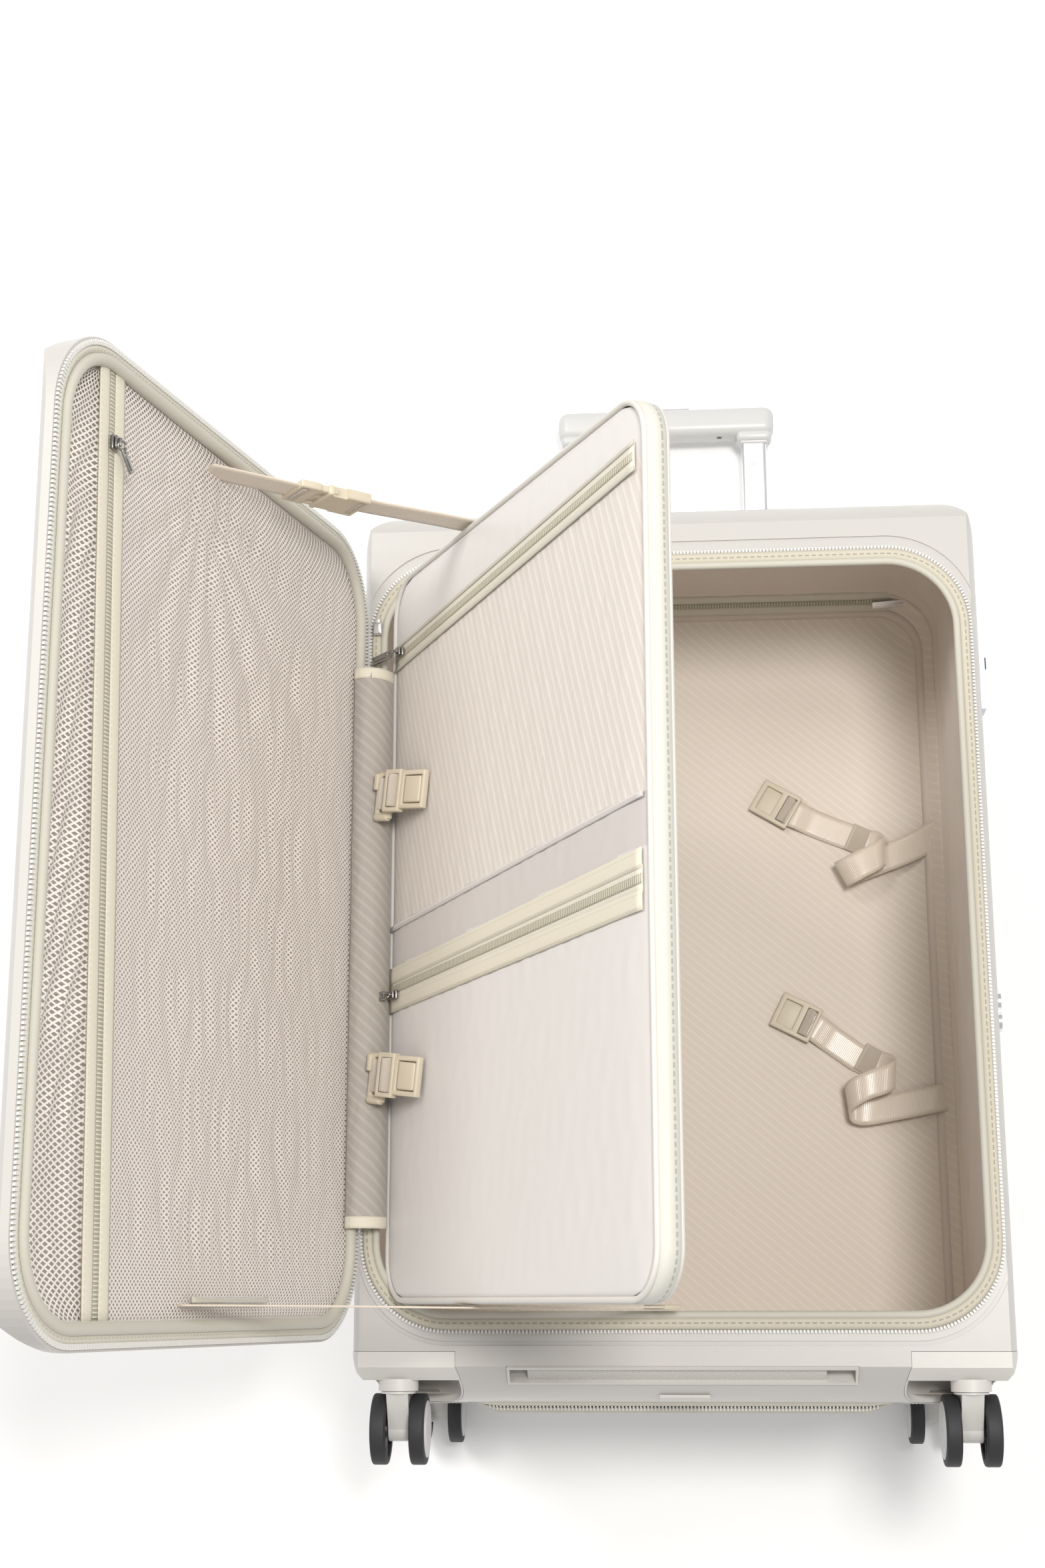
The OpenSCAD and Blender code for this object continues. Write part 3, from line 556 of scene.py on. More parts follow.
def axes_at(origin, ex, ey):
    """Matrix for a part drawn flat, its X and Y turned to ex and ey."""
    ex, ey = Vector(ex).normalized(), Vector(ey).normalized()
    ez = ex.cross(ey).normalized()
    ey = ez.cross(ex)
    m = Matrix((ex, ey, ez)).transposed().to_4x4()
    m.translation = Vector(origin) * MM
    return m


def block(name, size, at=(0, 0, 0), bevel=0.6, segments=3):
    bpy.ops.object.select_all(action="DESELECT")
    bpy.ops.mesh.primitive_cube_add(size=1, location=[a * MM for a in at])
    o = bpy.context.object
    o.name = name
    o.scale = [s * MM for s in size]
    bpy.ops.object.transform_apply(location=True, rotation=True, scale=True)
    if bevel:
        apply(o, "BEVEL", width=bevel * MM, segments=segments, limit_method="ANGLE")
    return o


def disc(name, radius, depth, at=(0, 0, 0), axis="Z", bevel=0.5, sides=48):
    bpy.ops.object.select_all(action="DESELECT")
    turn = {"X": (0, math.pi / 2, 0), "Y": (math.pi / 2, 0, 0), "Z": (0, 0, 0)}[axis]
    bpy.ops.mesh.primitive_cylinder_add(vertices=sides, radius=radius * MM, depth=depth * MM,
                                        location=[a * MM for a in at], rotation=turn)
    o = bpy.context.object
    o.name = name
    bpy.ops.object.transform_apply(location=True, rotation=True, scale=True)
    if bevel:
        apply(o, "BEVEL", width=bevel * MM, segments=3, limit_method="ANGLE")
    return o


def hoop(name, major, minor, at=(0, 0, 0), turn=(0, 0, 0)):
    bpy.ops.object.select_all(action="DESELECT")
    bpy.ops.mesh.primitive_torus_add(major_radius=major * MM, minor_radius=minor * MM, major_segments=48,
                                     minor_segments=12, location=[a * MM for a in at], rotation=turn)
    o = bpy.context.object
    o.name = name
    bpy.ops.object.transform_apply(location=True, rotation=True, scale=True)
    return o


def cut(obj, tool):
    apply(obj, "BOOLEAN", operation="DIFFERENCE", object=tool, solver="EXACT")
    bpy.data.objects.remove(tool, do_unlink=True)
    return obj


def joined(name, parts):
    bpy.ops.object.select_all(action="DESELECT")
    for p in parts:
        p.select_set(True)
    bpy.context.view_layer.objects.active = parts[0]
    if len(parts) > 1:
        bpy.ops.object.join()
    o = bpy.context.object
    o.name = name
    return o


def soften(obj, angle=40):
    bpy.ops.object.select_all(action="DESELECT")
    obj.select_set(True)
    bpy.context.view_layer.objects.active = obj
    bpy.ops.object.shade_smooth_by_angle(angle=math.radians(angle))
    return obj


def put(obj, matrix):
    obj.data.transform(matrix)
    obj.data.update()
    return obj


# ---------------------------------------------------------------- camera, light, floor

cam_data = bpy.data.cameras.new("view")
cam = bpy.data.objects.new("view", cam_data)
bpy.context.scene.collection.objects.link(cam)
bpy.context.scene.camera = cam
right = Vector((0.99694, -0.00159, -0.07819))
up = Vector((0.02007, 0.97152, 0.23609))
back = right.cross(up).normalized()
right, up = right.normalized(), back.cross(right).normalized()
m = Matrix((right, up, back)).transposed().to_4x4()
m.translation = Vector((9.868, -284.94, 1975.94)) * MM
cam.matrix_world = m
cam_data.sensor_width = 36
cam_data.lens = 48.638
cam_data.clip_start = 0.05

bpy.ops.mesh.primitive_plane_add(size=14, location=(0, 0, 0))
floor = bpy.context.object
floor.name = "floor"
floor_finish = Finish("studio floor", (0.93, 0.93, 0.93), 0.9, spec=0.1)
floor_finish.b.inputs["Emission Color"].default_value = (1, 1, 1, 1)
floor_finish.b.inputs["Emission Strength"].default_value = 0.05
floor_mat = floor_finish.done()
floor.data.materials.append(floor_mat)

world = bpy.data.worlds.new("studio")
bpy.context.scene.world = world
world.use_nodes = True
world.node_tree.nodes["Background"].inputs["Color"].default_value = (1.0, 0.99, 0.98, 1)
world.node_tree.nodes["Background"].inputs["Strength"].default_value = 0.60
bpy.context.scene.view_settings.view_transform = "Standard"


def lamp(name, kind, at, toward, power, size=1.0, colour=(1, 1, 1)):
    d = bpy.data.lights.new(name, kind)
    o = bpy.data.objects.new(name, d)
    bpy.context.scene.collection.objects.link(o)
    d.energy = power
    d.color = colour
    if kind == "AREA":
        d.shape = "DISK"
        d.size = size
    else:
        d.angle = size
    o.location = at
    o.rotation_euler = (Vector(toward) - Vector(at)).to_track_quat("-Z", "Y").to_euler()
    return o


lamp("key", "AREA", (-1.5, 1.2, 3.2), (0, 0, 0.2), 54, 1.2, (1.0, 0.985, 0.96))
lamp("overhead", "AREA", (0.45, 0.15, 2.8), (0.08, -0.12, 0.1), 42, 0.6, (1.0, 0.98, 0.95))

# ---------------------------------------------------------------- CAD parts that keep their shape

FINISH_OF = {
    "rear_shell": SHELL, "front_ring": SHELL, "lid_shell": SHELL,
    "base_fittings": TRIM, "carry_mounts": TRIM, "side_feet": TRIM,
    "caster_base_front": TRIM, "caster_base_rear": TRIM, "top_handle": RUBBER, "side_handle": RUBBER,
    "handle_cup": CUP, "outer_tubes": TUBE, "mid_tubes": TUBE, "inner_tubes": TUBE, "grip": GRIP,
    "grip_button": CUP, "lock_case": LOCK, "lock_button": DARK, "lock_dial_1": DARK, "lock_dial_2": DARK,
    "lock_dial_3": DARK, "back_zip_slider": NICKEL, "lid_zip_slider": NICKEL, "divider_slider_upper": NICKEL,
    "divider_slider_lower": NICKEL, "expansion_slider_a": CHROME, "expansion_slider_b": CHROME,
    "fork_fl": FORK, "fork_fr": FORK, "fork_rl": FORK, "fork_rr": FORK,
}
for node, material in FINISH_OF.items():
    o = frame["nodes"][node]
    if not o.data.materials:
        o.data.materials.append(material)
    for i in range(len(o.data.materials)):
        o.data.materials[i] = material

# ---------------------------------------------------------------- rim of the body

RING, BACK, LID, DIVIDER = "front_ring_body", "case_back", "lid", "divider_body"

o = piping("rim_piping", OPEN_X - 5, OPEN_Y - 9.5, OPEN_R - 7, RIM_Z + 1.5, 3.0, as_built)
keep(o, PIPING, RING, "rim_binding", slot="piping")
o = hoops("rim_tape", [(OPEN_X - 3, OPEN_Y - 8, OPEN_R - 5, RIM_Z + 1.5), (OPEN_X, OPEN_Y - 5, OPEN_R - 2, RIM_Z + 2.9),
                       (OPEN_X + 3, OPEN_Y - 2, OPEN_R + 1, RIM_Z + 3.0),
                       (OPEN_X + 4.5, OPEN_Y + 1, OPEN_R + 3, RIM_Z + 2.2)], as_built)
keep(thicken(o, 0.7, -1), BIND, RING, slot="piping")
o = hoops("rim_tape_fold", [(OPEN_X - 5, OPEN_Y - 9.5, OPEN_R - 7, RIM_Z + 0.5),
                            (OPEN_X - 4.5, OPEN_Y - 8, OPEN_R - 6, RIM_Z - 8)], as_built)
keep(thicken(o, 0.7, -1), PIPING, RING, slot="piping")
o = teeth_round("rim_teeth", OPEN_X + 5.8, OPEN_Y + 2.6, OPEN_R + 4, RIM_Z + 1.2, 2.8, (1.5, 2.6, 1.4), as_built)
keep(o, TEETH_WHITE, RING, "rim_zip", slot="zip_white")

# ---------------------------------------------------------------- inside of the body


def creases(seed, count, amp, fall=None):
    g = np.random.default_rng(seed)
    ks = [(g.uniform(4, 22), g.uniform(-14, 14), g.uniform(0, 6.28), g.uniform(0.3, 1)) for _ in range(count)]

    def f(a, b):
        t = np.zeros_like(a)
        for ka, kb, ph, w in ks:
            t = t + w * np.sin(ka * a + kb * b + ph)
        return amp * t / count
    return f


side_crease = creases(3, 9, 13.0)


def wall_wave(p, u, v):
    k = np.linspace(0, 1, p.shape[0])[:, None]
    d = side_crease(np.tile(u / 90.0, (p.shape[0], 1)), k * 2.2) * np.sin(k * math.pi)
    n = p[:, :, :2] / np.linalg.norm(p[:, :, :2], axis=2)[:, :, None]
    p[:, :, :2] -= n * (np.abs(d) * 0.9)[:, :, None]
    return p


walls = [(OPEN_X - 3.5, OPEN_Y - 8, OPEN_R - 6, RIM_Z - 2), (OPEN_X + 2, OPEN_Y + 14, 60, RIM_Z - 22),
         (OPEN_X + 7, OPEN_Y + 34, 56, RIM_Z - 48), (HALF_W - 7, HALF_L - 10, 46, SEAM_Z - 12),
         (HALF_W - 7, HALF_L - 10, 46, 210), (HALF_W - 7, HALF_L - 10, 46, 170),
         (HALF_W - 7, HALF_L - 10, 46, 134), (HALF_W - 8, HALF_L - 11, 46, 114), (HALF_W - 12, HALF_L - 15, 46, 103)]
fine_walls = []
for a, b in zip(walls, walls[1:]):
    fine_walls += [tuple(np.array(a) + (np.array(b) - np.array(a)) * k / 4) for k in range(4)]
fine_walls.append(walls[-1])
o = hoops("side_lining", fine_walls, as_built, corner=16, side=60, wave=wall_wave)
thicken(o, 0.9)
keep(o, SIDE, None, "rear_lining", "front_lining", slot="lining")
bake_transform(o)

# cloth that joins the two shells behind the waist zip, folded in small pleats where the case can grow
g_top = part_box("gusset")[1] / MM
PLEAT, PLEATS, PLEAT_DEPTH = 0.8, 35, 1.6
pleat_top = g_top.z - SEAM_Z - PLEAT * PLEATS / 2
g_rows = [(0.0, 0.0), (pleat_top / 2, 0.0)]
g_rows += [(pleat_top + PLEAT * k, PLEAT_DEPTH * (k % 2)) for k in range(PLEATS + 1)]
g_rows += [(2 * (g_top.z - SEAM_Z) - pleat_top / 2, 0.0), (2 * (g_top.z - SEAM_Z), 0.0)]
o = hoops("gusset_cloth", [(g_top.x - 0.7 - f, g_top.y - 0.7 - f, 46.3 - f, g_top.z - d) for d, f in g_rows], as_built)
thicken(o, 0.25)
keep(o, GUSSET, None, "gusset", slot="lining")
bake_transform(o)

DISH = [(0, 104), (2, 97), (5, 90), (10, 82), (17, 74), (27, 67), (42, 62.5), (62, 61), (90, 60.5), (130, 60.4),
        (180, 60.4), (222, 60.4)]


def dish_hoop(d, z):
    return HALF_W - 12 - d, HALF_L - 15 - d, max(46 - d * 0.6, 4), z + PANEL_Z - 60


o = dish("back_lining", [dish_hoop(*q) for q in DISH], as_built, side=40)
thicken(o, 1.0)
keep(o, LINING, BACK, "back_panel", slot="lining")
o = hoops("back_lining_hem", [dish_hoop(8, 86.2), dish_hoop(11, 81.8), dish_hoop(14, 78.4)], as_built)
thicken(o, 0.8)
keep(o, SIDE, BACK, slot="lining")

# ---------------------------------------------------------------- lid

o = piping("lid_piping", LID_X - 13.5, LID_Y - 13.5, OPEN_R - 6, LID_Z + 0.2, 4.3, in_lid)
keep(o, PIPING, LID, "lid_binding", slot="piping")
o = hoops("lid_tape", [(LID_X - 3.6, LID_Y - 3.6, OPEN_R + 3, LID_Z + 0.6), (LID_X - 7, LID_Y - 7, OPEN_R, LID_Z - 0.8),
                       (LID_X - 9.5, LID_Y - 9.5, OPEN_R - 2, LID_Z - 0.3)], in_lid)
keep(thicken(o, 0.8), BIND_LID, LID, slot="piping")
o = teeth_round("lid_teeth", LID_X - 3.0, LID_Y - 3.4, OPEN_R + 3, LID_Z - 0.9, 3.0, (1.7, 3.4, 1.7), in_lid)
keep(o, TEETH_WHITE, LID, "lid_zip", slot="zip_white")

lid_in = [(LID_X - 4, LID_Y - 4, 63, LID_Z + 3.5)]
for d in (4.5, 8, 13, 20, 30, 42, 56, 71.4, 100, 160, 234):
    rise = math.sqrt(96 ** 2 - max(71.4 - d, 0) ** 2) - 64.5
    lid_in.append((LID_X - d, LID_Y - d, max(67 - d, 6), LID_Z + rise))
o = dish("lid_lining", lid_in, in_lid, corner=10, side=20)
thicken(o, 0.8)
keep(o, NET_BACK, LID, slot="lining")

ZIP_TOP, ZIP_LOW = np.array([HINGE[0] + 414, 276]), np.array([HINGE[0] + 386, -272])


def net_sheet(name, x_low, x_high, material, amp, seed):
    """Net in the lid between two edges; each edge is a function of y."""
    ys = np.linspace(-(LID_Y - 15), LID_Y - 15, 161)
    cols = 81
    fold = creases(seed, 7, amp)
    hem = OPEN_R - 8
    rows = []
    for y in ys:
        e = max(0.0, abs(y) - (LID_Y - 15 - hem))
        cut_in = hem - math.sqrt(max(hem ** 2 - e ** 2, 0))
        a = max(x_low(y), -(LID_X - 14) + cut_in)
        b = min(x_high(y), LID_X - 14 - cut_in)
        t = np.linspace(0, 1, cols)
        x = a + (b - a) * t
        edge = np.sin(np.pi * t) ** 0.6 * min(1.0, (LID_Y - 13 - abs(y)) / 60 + 0.02)
        slack = np.abs(fold(x / 95.0, np.full(cols, y / 150.0)))
        turn = np.arctan2(y - 270, x - HINGE[0] - 270)
        reach = np.hypot(y - 270, x - HINGE[0] - 270)
        rays = (0.5 + 0.5 * np.sin(turn * 17 + 0.6 * np.sin(reach / 60))) ** 2 * np.exp(-((reach - 110) / 120) ** 2)
        z = LID_Z + 3.0 + (slack * 2.6 + rays * amp * 1.1 + 5.0) * edge
        rows.append(np.column_stack([x, np.full(cols, y), z]))
    p = np.array(rows)
    o = surface(name, in_lid(p), run_length(p[80]), ys - ys[0])
    keep(o, material, LID, slot="mesh")
    return o


def zip_x(y):
    k = (y - ZIP_LOW[1]) / (ZIP_TOP[1] - ZIP_LOW[1])
    return ZIP_LOW[0] + (ZIP_TOP[0] - ZIP_LOW[0]) * k


o = net_sheet("lid_net_main", lambda y: -1e3, lambda y: zip_x(y) - 10, NET_FINE, 3.2, 21)
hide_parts("lid_mesh")
net_sheet("lid_net_strip", lambda y: zip_x(y) + 10, lambda y: 1e3, NET_WIDE, 4.5, 5)


def lid_band(name, off, width, z, material, slot):
    ys = np.linspace(-(LID_Y - 16), LID_Y - 16, 60)
    rows = []
    for t in np.linspace(-0.5, 0.5, 5):
        bow = 3.0 * np.sin((ys + 290) / 580 * np.pi)
        rows.append(np.column_stack([[zip_x(y) + off + t * width for y in ys] + bow * 0, ys,
                                     np.full(len(ys), z) + 0.8 * (1 - 4 * t * t) * -1]))
    p = np.array(rows)
    o = surface(name, in_lid(p), run_length(p[2]), (np.linspace(-0.5, 0.5, 5) + 0.5) * width)
    thicken(o, 0.7)
    return keep(o, material, LID, slot=slot)


lid_band("lid_zip_tape_outer", 9.5, 12, LID_Z + 1.2, RIBBON, "piping")
lid_band("lid_zip_tape_inner", -9.5, 12, LID_Z + 1.2, RIBBON, "piping")
lid_band("lid_zip_coil", 0, 7.5, LID_Z + 1.6, COIL, "zip_tape")

# ---------------------------------------------------------------- divider

DC = DIV_W / 2
edge_r = 34


def upper_zip(u):
    return 221 + (u - 28) * 0.0524


def pocket_edge(u):
    return 1 + (u - 10) * 0.0455


def band_low(u):
    return -33 + (u - 7) * 0.041


def tape_low(u):
    return -67 + (u - 6) * 0.031


body_hoops = []
for off, n in ((-5, -17.4), (-0.5, -15.5), (0, -8.7), (-0.5, -1.6)):
    body_hoops.append((DC + off, DIV_L / 2 + off, edge_r + off * 0.6, n))
o = hoops("divider_edge", body_hoops, in_divider, cx=DC, corner=12, side=40)
thicken(o, 0.8)
keep(o, EDGE, DIVIDER, slot="divider_cloth")
back_rows = [(DC - 4, DIV_L / 2 - 4, edge_r - 3, -17.0), (DC - 30, DIV_L / 2 - 30, 20, -17.3),
             (DC - 120, DIV_L / 2 - 120, 12, -17.4), (DC - 210, DIV_L / 2 - 210, 4, -17.4)]
o = dish("divider_back", back_rows, in_divider, cx=DC, corner=10, side=20)
thicken(o, 0.8)
keep(o, SATIN, DIVIDER, slot="divider_cloth")

soft_fold = creases(31, 10, 1.0)


def divider_face():
    """The outer face: plain top, striped pocket, grey band and satin panel on one padded cover."""
    us = np.linspace(0, 1, 89)
    ys = np.linspace(-1, 1, 117)
    hx, hy = DC - 3.2, DIV_L / 2 - 3.2
    p = np.zeros((len(ys), len(us), 3))
    for r, yy in enumerate(ys):
        y = yy * hy
        e = max(0.0, abs(y) - (hy - edge_r))
        cut_in = edge_r - math.sqrt(max(edge_r ** 2 - e ** 2, 0))
        x = 3.2 + cut_in + (2 * hx - 2 * cut_in) * us
        rim = np.minimum(np.minimum(us, 1 - us) * 2 * hx, (1 - abs(yy)) * hy) / 26
        crown = np.clip(rim, 0, 1) ** 0.5
        n = -1.4 + 2.2 * crown + 0.9 * soft_fold(x / 60, np.full_like(x, y / 60)) * crown
        step = np.where(y < pocket_edge(x), 0.7, 0.0)
        p[r] = np.column_stack([x, np.full_like(x, y), n + step])
    o = surface("divider_cover", in_divider(p), p[58, :, 0], ys * hy + 300)
    mesh = o.data
    for mat in (SATIN, POCKET, GREY_BAND):
        mesh.materials.append(mat)
    uv = mesh.uv_layers.active.data
    for poly in mesh.polygons:
        cu = sum(uv[i].uv.x for i in poly.loop_indices) / poly.loop_total / MM
        cy = sum(uv[i].uv.y for i in poly.loop_indices) / poly.loop_total / MM - 300
        if pocket_edge(cu) < cy < upper_zip(cu):
            poly.material_index = 1
        elif band_low(cu) < cy <= pocket_edge(cu):
            poly.material_index = 2
    thicken(o, 1.0, -1)
    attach(o, DIVIDER)
    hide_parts("divider")
    return o


divider_face()
o = piping("divider_piping_front", DC - 2.3, DIV_L / 2 - 2.3, edge_r - 2, -0.6, 2.1, in_divider, cx=DC)
keep(o, PIPING_GREY, DIVIDER, slot="piping")
o = piping("divider_piping_back", DC - 2.3, DIV_L / 2 - 2.3, edge_r - 2, -16.6, 2.1, in_divider, cx=DC)
keep(o, PIPING_GREY, DIVIDER, slot="piping")


def strip(name, line, off, width, n, u0, u1, material, slot, crown=0.3):
    us = np.linspace(u0, u1, 50)
    rows = []
    for t in np.linspace(-0.5, 0.5, 5):
        rows.append(np.column_stack([us, np.array([line(u) for u in us]) + off + t * width,
                                     np.full(len(us), n) + crown * (1 - 4 * t * t)]))
    p = np.array(rows)
    o = surface(name, in_divider(p), run_length(p[2]), (np.linspace(-0.5, 0.5, 5) + 0.5) * width)
    thicken(o, 0.6)
    return keep(o, material, DIVIDER, slot=slot)


strip("upper_zip_tape", upper_zip, 0, 19, 1.5, 10, 425, ZIP_TAPE, "divider_cloth")
strip("upper_zip_coil", upper_zip, 0, 5.5, 2.3, 12, 423, COIL, "zip_tape")
strip("upper_zip_hem_a", upper_zip, 9, 3.0, 2.1, 10, 425, PIPING, "piping", 0.6)
strip("upper_zip_hem_b", upper_zip, -9, 3.0, 2.1, 10, 425, PIPING, "piping", 0.6)
strip("lower_ribbon_a", band_low, -6, 13, 2.4, 6, 428, RIBBON, "piping")
strip("lower_zip_tape", lambda u: (band_low(u) + tape_low(u)) / 2, 0, 17, 1.9, 6, 428, ZIP_TAPE, "divider_cloth")
strip("lower_zip_coil", lambda u: (band_low(u) + tape_low(u)) / 2, 0, 6, 2.6, 6, 428, COIL, "zip_tape")
strip("lower_ribbon_b", tape_low, 6, 13, 2.4, 6, 428, RIBBON, "piping")
strip("pocket_hem", pocket_edge, -2, 4, 1.9, 7, 430, GREY_BAND, "divider_cloth", 0.5)

# ---------------------------------------------------------------- small hard parts


def finish_parts(name, pairs, matrix, body, *nodes, slot=None):
    """Join parts that each carry their own material, and set them in place."""
    for part, material in pairs:
        part.data.materials.clear()
        part.data.materials.append(material)
        soften(part)
    o = joined(name, [p for p, _ in pairs])
    put(o, matrix)
    return keep(o, None, body, *nodes, slot=slot)


def framed(name, size, at, windows, bevel=0.9):
    o = block(name, size, at, bevel=0)
    for x, y, w, h in windows:
        cut(o, block("tool", (w, h, size[2] * 4), (at[0] + x, at[1] + y, at[2]), bevel=0))
    return apply(o, "BEVEL", width=bevel * MM, segments=3, limit_method="ANGLE")


def half_buckle(name, y, spin, node, at):
    """Latch half of a cross-strap buckle: push plate, ladder with its webbing roll, and the hook behind."""
    tilt = math.radians(40)
    ex = Vector((math.cos(tilt), math.sin(math.radians(spin)), math.sin(tilt)))
    ez = Vector((-math.sin(tilt), 0, math.cos(tilt)))
    ey = ez.cross(ex)
    pairs = [
        (framed("plate_frame", (27, 30, 5.5), (17.5, 0, 0), [(0.5, 0, 20.5, 22.5)]), BUCKLE),
        (block("plate_floor", (24, 27, 1.5), (17.5, 0, -1.6), 0.3), BUCKLE),
        (block("push_plate", (18, 20.8, 4.6), (18.6, 0, 0.9), 1.5, 4), BUCKLE),
        (framed("ladder", (18.5, 33.5, 6.5), (-4.8, -0.6, 0.2), [(0, 0, 12.6, 26)]), BUCKLE),
        (disc("webbing_roll", 5.4, 25.4, (-4.8, -0.6, 0.4), "Y", 1.0), WEB),
        (framed("hook", (18, 37, 3.6), (-21, -3.2, -5), [(1.5, 1.0, 11.5, 28.5)]), BUCKLE),
        (block("hook_lip", (4.4, 13, 6.0), (-29.2, 7.6, -3.6), 1.2), BUCKLE),
        (disc("hook_roll", 3.2, 15, (-22, -20.2, -5.2), "X", 1.0), BUCKLE),
        (block("webbing_tab", (13, 25, 1.6), (-20, -1.8, -3.4), 0.5), WEB),
    ]
    m = axes_at(at, ex, ey)
    finish_parts(name, pairs, m, DIVIDER, node, slot="buckle_plastic")
    c = np.array(at)
    e, f, g = np.array(ex.normalized()), np.array(ey.normalized()), np.array(ez)
    path = [c + e * a + g * b for a, b in ((-4.8, -5.5), (-9, -9), (-13, -15), (-15.5, -22.5), (-12.5, -27))]
    ribbon(name + "_webbing", path, [f] * 5, 24, 1.4, WEB, DIVIDER)


half_buckle("half_buckle_upper", 101, -8, "buckle_left_upper", (-210.8, 101, 387))
half_buckle("half_buckle_lower", -119.5, -8, "buckle_left_lower", (-213.2, -119.5, 387))


def loose_buckle(name, at, angle, node):
    """Frame half of a cross-strap buckle, lying on the back lining."""
    a = math.radians(angle)
    pairs = [
        (framed("frame", (38, 33, 5), (0, 0, 0), [(-6.8, 0, 15.5, 23.5), (11.2, 0, 9.6, 25.5)]), BUCKLE),
        (block("window_floor", (17, 25, 1.2), (-6.8, 0, -1.6), 0.3), BUCKLE),
        (disc("webbing_roll", 3.9, 24.6, (10.6, 0, 0.8), "Y", 0.8), WEB),
    ]
    m = axes_at(at, (math.cos(a), math.sin(a), 0.03), (-math.sin(a), math.cos(a), 0))
    finish_parts(name, pairs, m, BACK, node, slot="buckle_plastic")


loose_buckle("strap_buckle_upper", (94.2, 158.0, 66.5), -31, "buckle_right_upper")
loose_buckle("strap_buckle_lower", (107.0, -38.5, 66.5), -27, "buckle_right_lower")


def cross_strap(name, points, across, node, tab):
    path = [p[:3] for p in points]
    o = ribbon(name, path, across, 25, 1.1, WEB, BACK)
    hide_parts(node)
    (x, y, z), (ax, ay) = tab
    d = Vector((ay, -ax, 0))
    pairs = [(block("tab", (17, 25.5, 1.4), (0, 0, 0), 0.4), WEB),
             (block("tab_seam", (1.0, 24, 0.9), (-6.5, 0, 0.7), 0.2), RIBBON)]
    finish_parts(name + "_tab", pairs, axes_at((x, y, z), d, (ax, ay, 0)), BACK, slot="webbing")


cross_strap("cross_strap_upper",
            [(104, 151, 65), (114, 147, 66.5), (126, 141.5, 63.2), (143, 134, 62.6), (161, 126.8, 62.8),
             (174, 121.5, 64), (184, 117.5, 69), (189.5, 112, 78), (188.5, 107.5, 85), (181, 102.5, 89.5),
             (168, 96, 91), (158, 91, 89), (151.6, 88.6, 83), (151.4, 88.8, 77), (156.5, 91.5, 72.5),
             (170, 97, 71.5), (188, 103.5, 73), (208, 110.5, 76), (226, 118, 82), (244, 127, 94)],
            [(0.42, 0.9, 0)] * 5 + [(0.35, 0.93, 0), (0.22, 0.97, 0.05), (0.05, 1, 0.1), (-0.08, 1, 0.05),
                                    (-0.2, 0.97, 0), (-0.33, 0.93, 0), (-0.42, 0.9, 0), (-0.45, 0.89, 0),
                                    (-0.45, 0.89, 0), (-0.43, 0.9, 0)] + [(-0.38, 0.92, 0)] * 5,
            "strap_right_upper", ((168, 124, 64.6), (0.42, 0.9)))
cross_strap("cross_strap_lower",
            [(117, -43.5, 65), (126, -49.5, 66.5), (136, -57, 63.2), (149, -66.5, 62.6), (162, -75.5, 62.8),
             (175, -80.5, 64), (185, -84, 69), (191, -88.5, 78), (190, -92.5, 86), (182, -97, 91),
             (168, -101.5, 93), (156, -107, 91), (149.6, -112, 85), (149.4, -117.5, 78), (155, -121.5, 73.5),
             (168, -123, 72), (190, -119.5, 75), (210, -116, 79), (228, -113, 85), (244, -110.5, 95)],
            [(0.55, 0.83, 0)] * 5 + [(0.42, 0.9, 0), (0.25, 0.96, 0.05), (0.1, 1, 0.1), (0.05, 1, 0.05),
                                     (0, 1, 0), (-0.04, 1, 0), (-0.1, 1, 0), (-0.12, 0.99, 0), (-0.1, 1, 0),
                                     (0, 1, 0)] + [(0.14, 0.99, 0)] * 5,
            "strap_right_lower", ((170, -77, 64.6), (0.5, 0.86)))

# check straps from the lid to the rim of the body
S0 = np.array([-309.7, 284.0, 593.0])
S_DIR = np.array([299.7, 0, -242.0])
S_LEN = np.linalg.norm(S_DIR)
S_DIR /= S_LEN
S_UP = np.array([-S_DIR[2], 0, S_DIR[0]])


def check_strap(name, ys, *nodes):
    ss = np.linspace(-14, S_LEN + 3, 13)
    yy = np.interp(ss, (0, 110, 205, 392), ys)
    path = [S0 * (1, 0, 1) + (0, y, 0) + S_DIR * q - S_UP * 3.0 * math.sin(math.pi * max(q, 0) / (S_LEN + 3))
            for q, y in zip(ss, yy)]
    o = ribbon(name, path, [S_UP] * 13, 24.5, 1.3, WEB, None)
    if nodes:
        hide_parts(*nodes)
    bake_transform(o)


check_strap("check_strap_top", (283.5, 285.5, 290.2, 290.2), "check_straps")
check_strap("check_strap_bottom", (-287.5, -288.5, -289.8, -289.8))
for k, y in enumerate((290.2, -289.8)):
    c = S0 * (1, 0, 1) + (0, y, 0) + S_DIR * (S_LEN - 4)
    pairs = [(block("anchor", (16, 26.5, 3.4), (0, 0, 0), 1.0), BUCKLE),
             (block("anchor_seam", (1.2, 22, 3.8), (-4, 0, 0), 0.3), RIBBON)]
    finish_parts(f"check_anchor_{k}", pairs, axes_at(tuple(c), tuple(S_DIR), tuple(S_UP)), RING, slot="webbing")

# open pouch in the lid that the lower strap comes out of
us = np.linspace(158, 268, 40)
rows = []
for t in np.linspace(0, 1, 5):
    rise = np.sin(np.pi * (us - 158) / 110) ** 0.5
    rows.append(np.column_stack([HINGE[0] + us, -281.5 - 4.5 * t - 2 * rise * (1 - t),
                                 LID_Z - 1 - (5.0 * rise) * (1 - (1 - t) ** 2)]))
o = surface("lid_strap_pouch", in_lid(np.array(rows)), us - us[0], np.linspace(0, 10, 5))
thicken(o, 1.4)
keep(o, PIPING, LID, slot="lining")

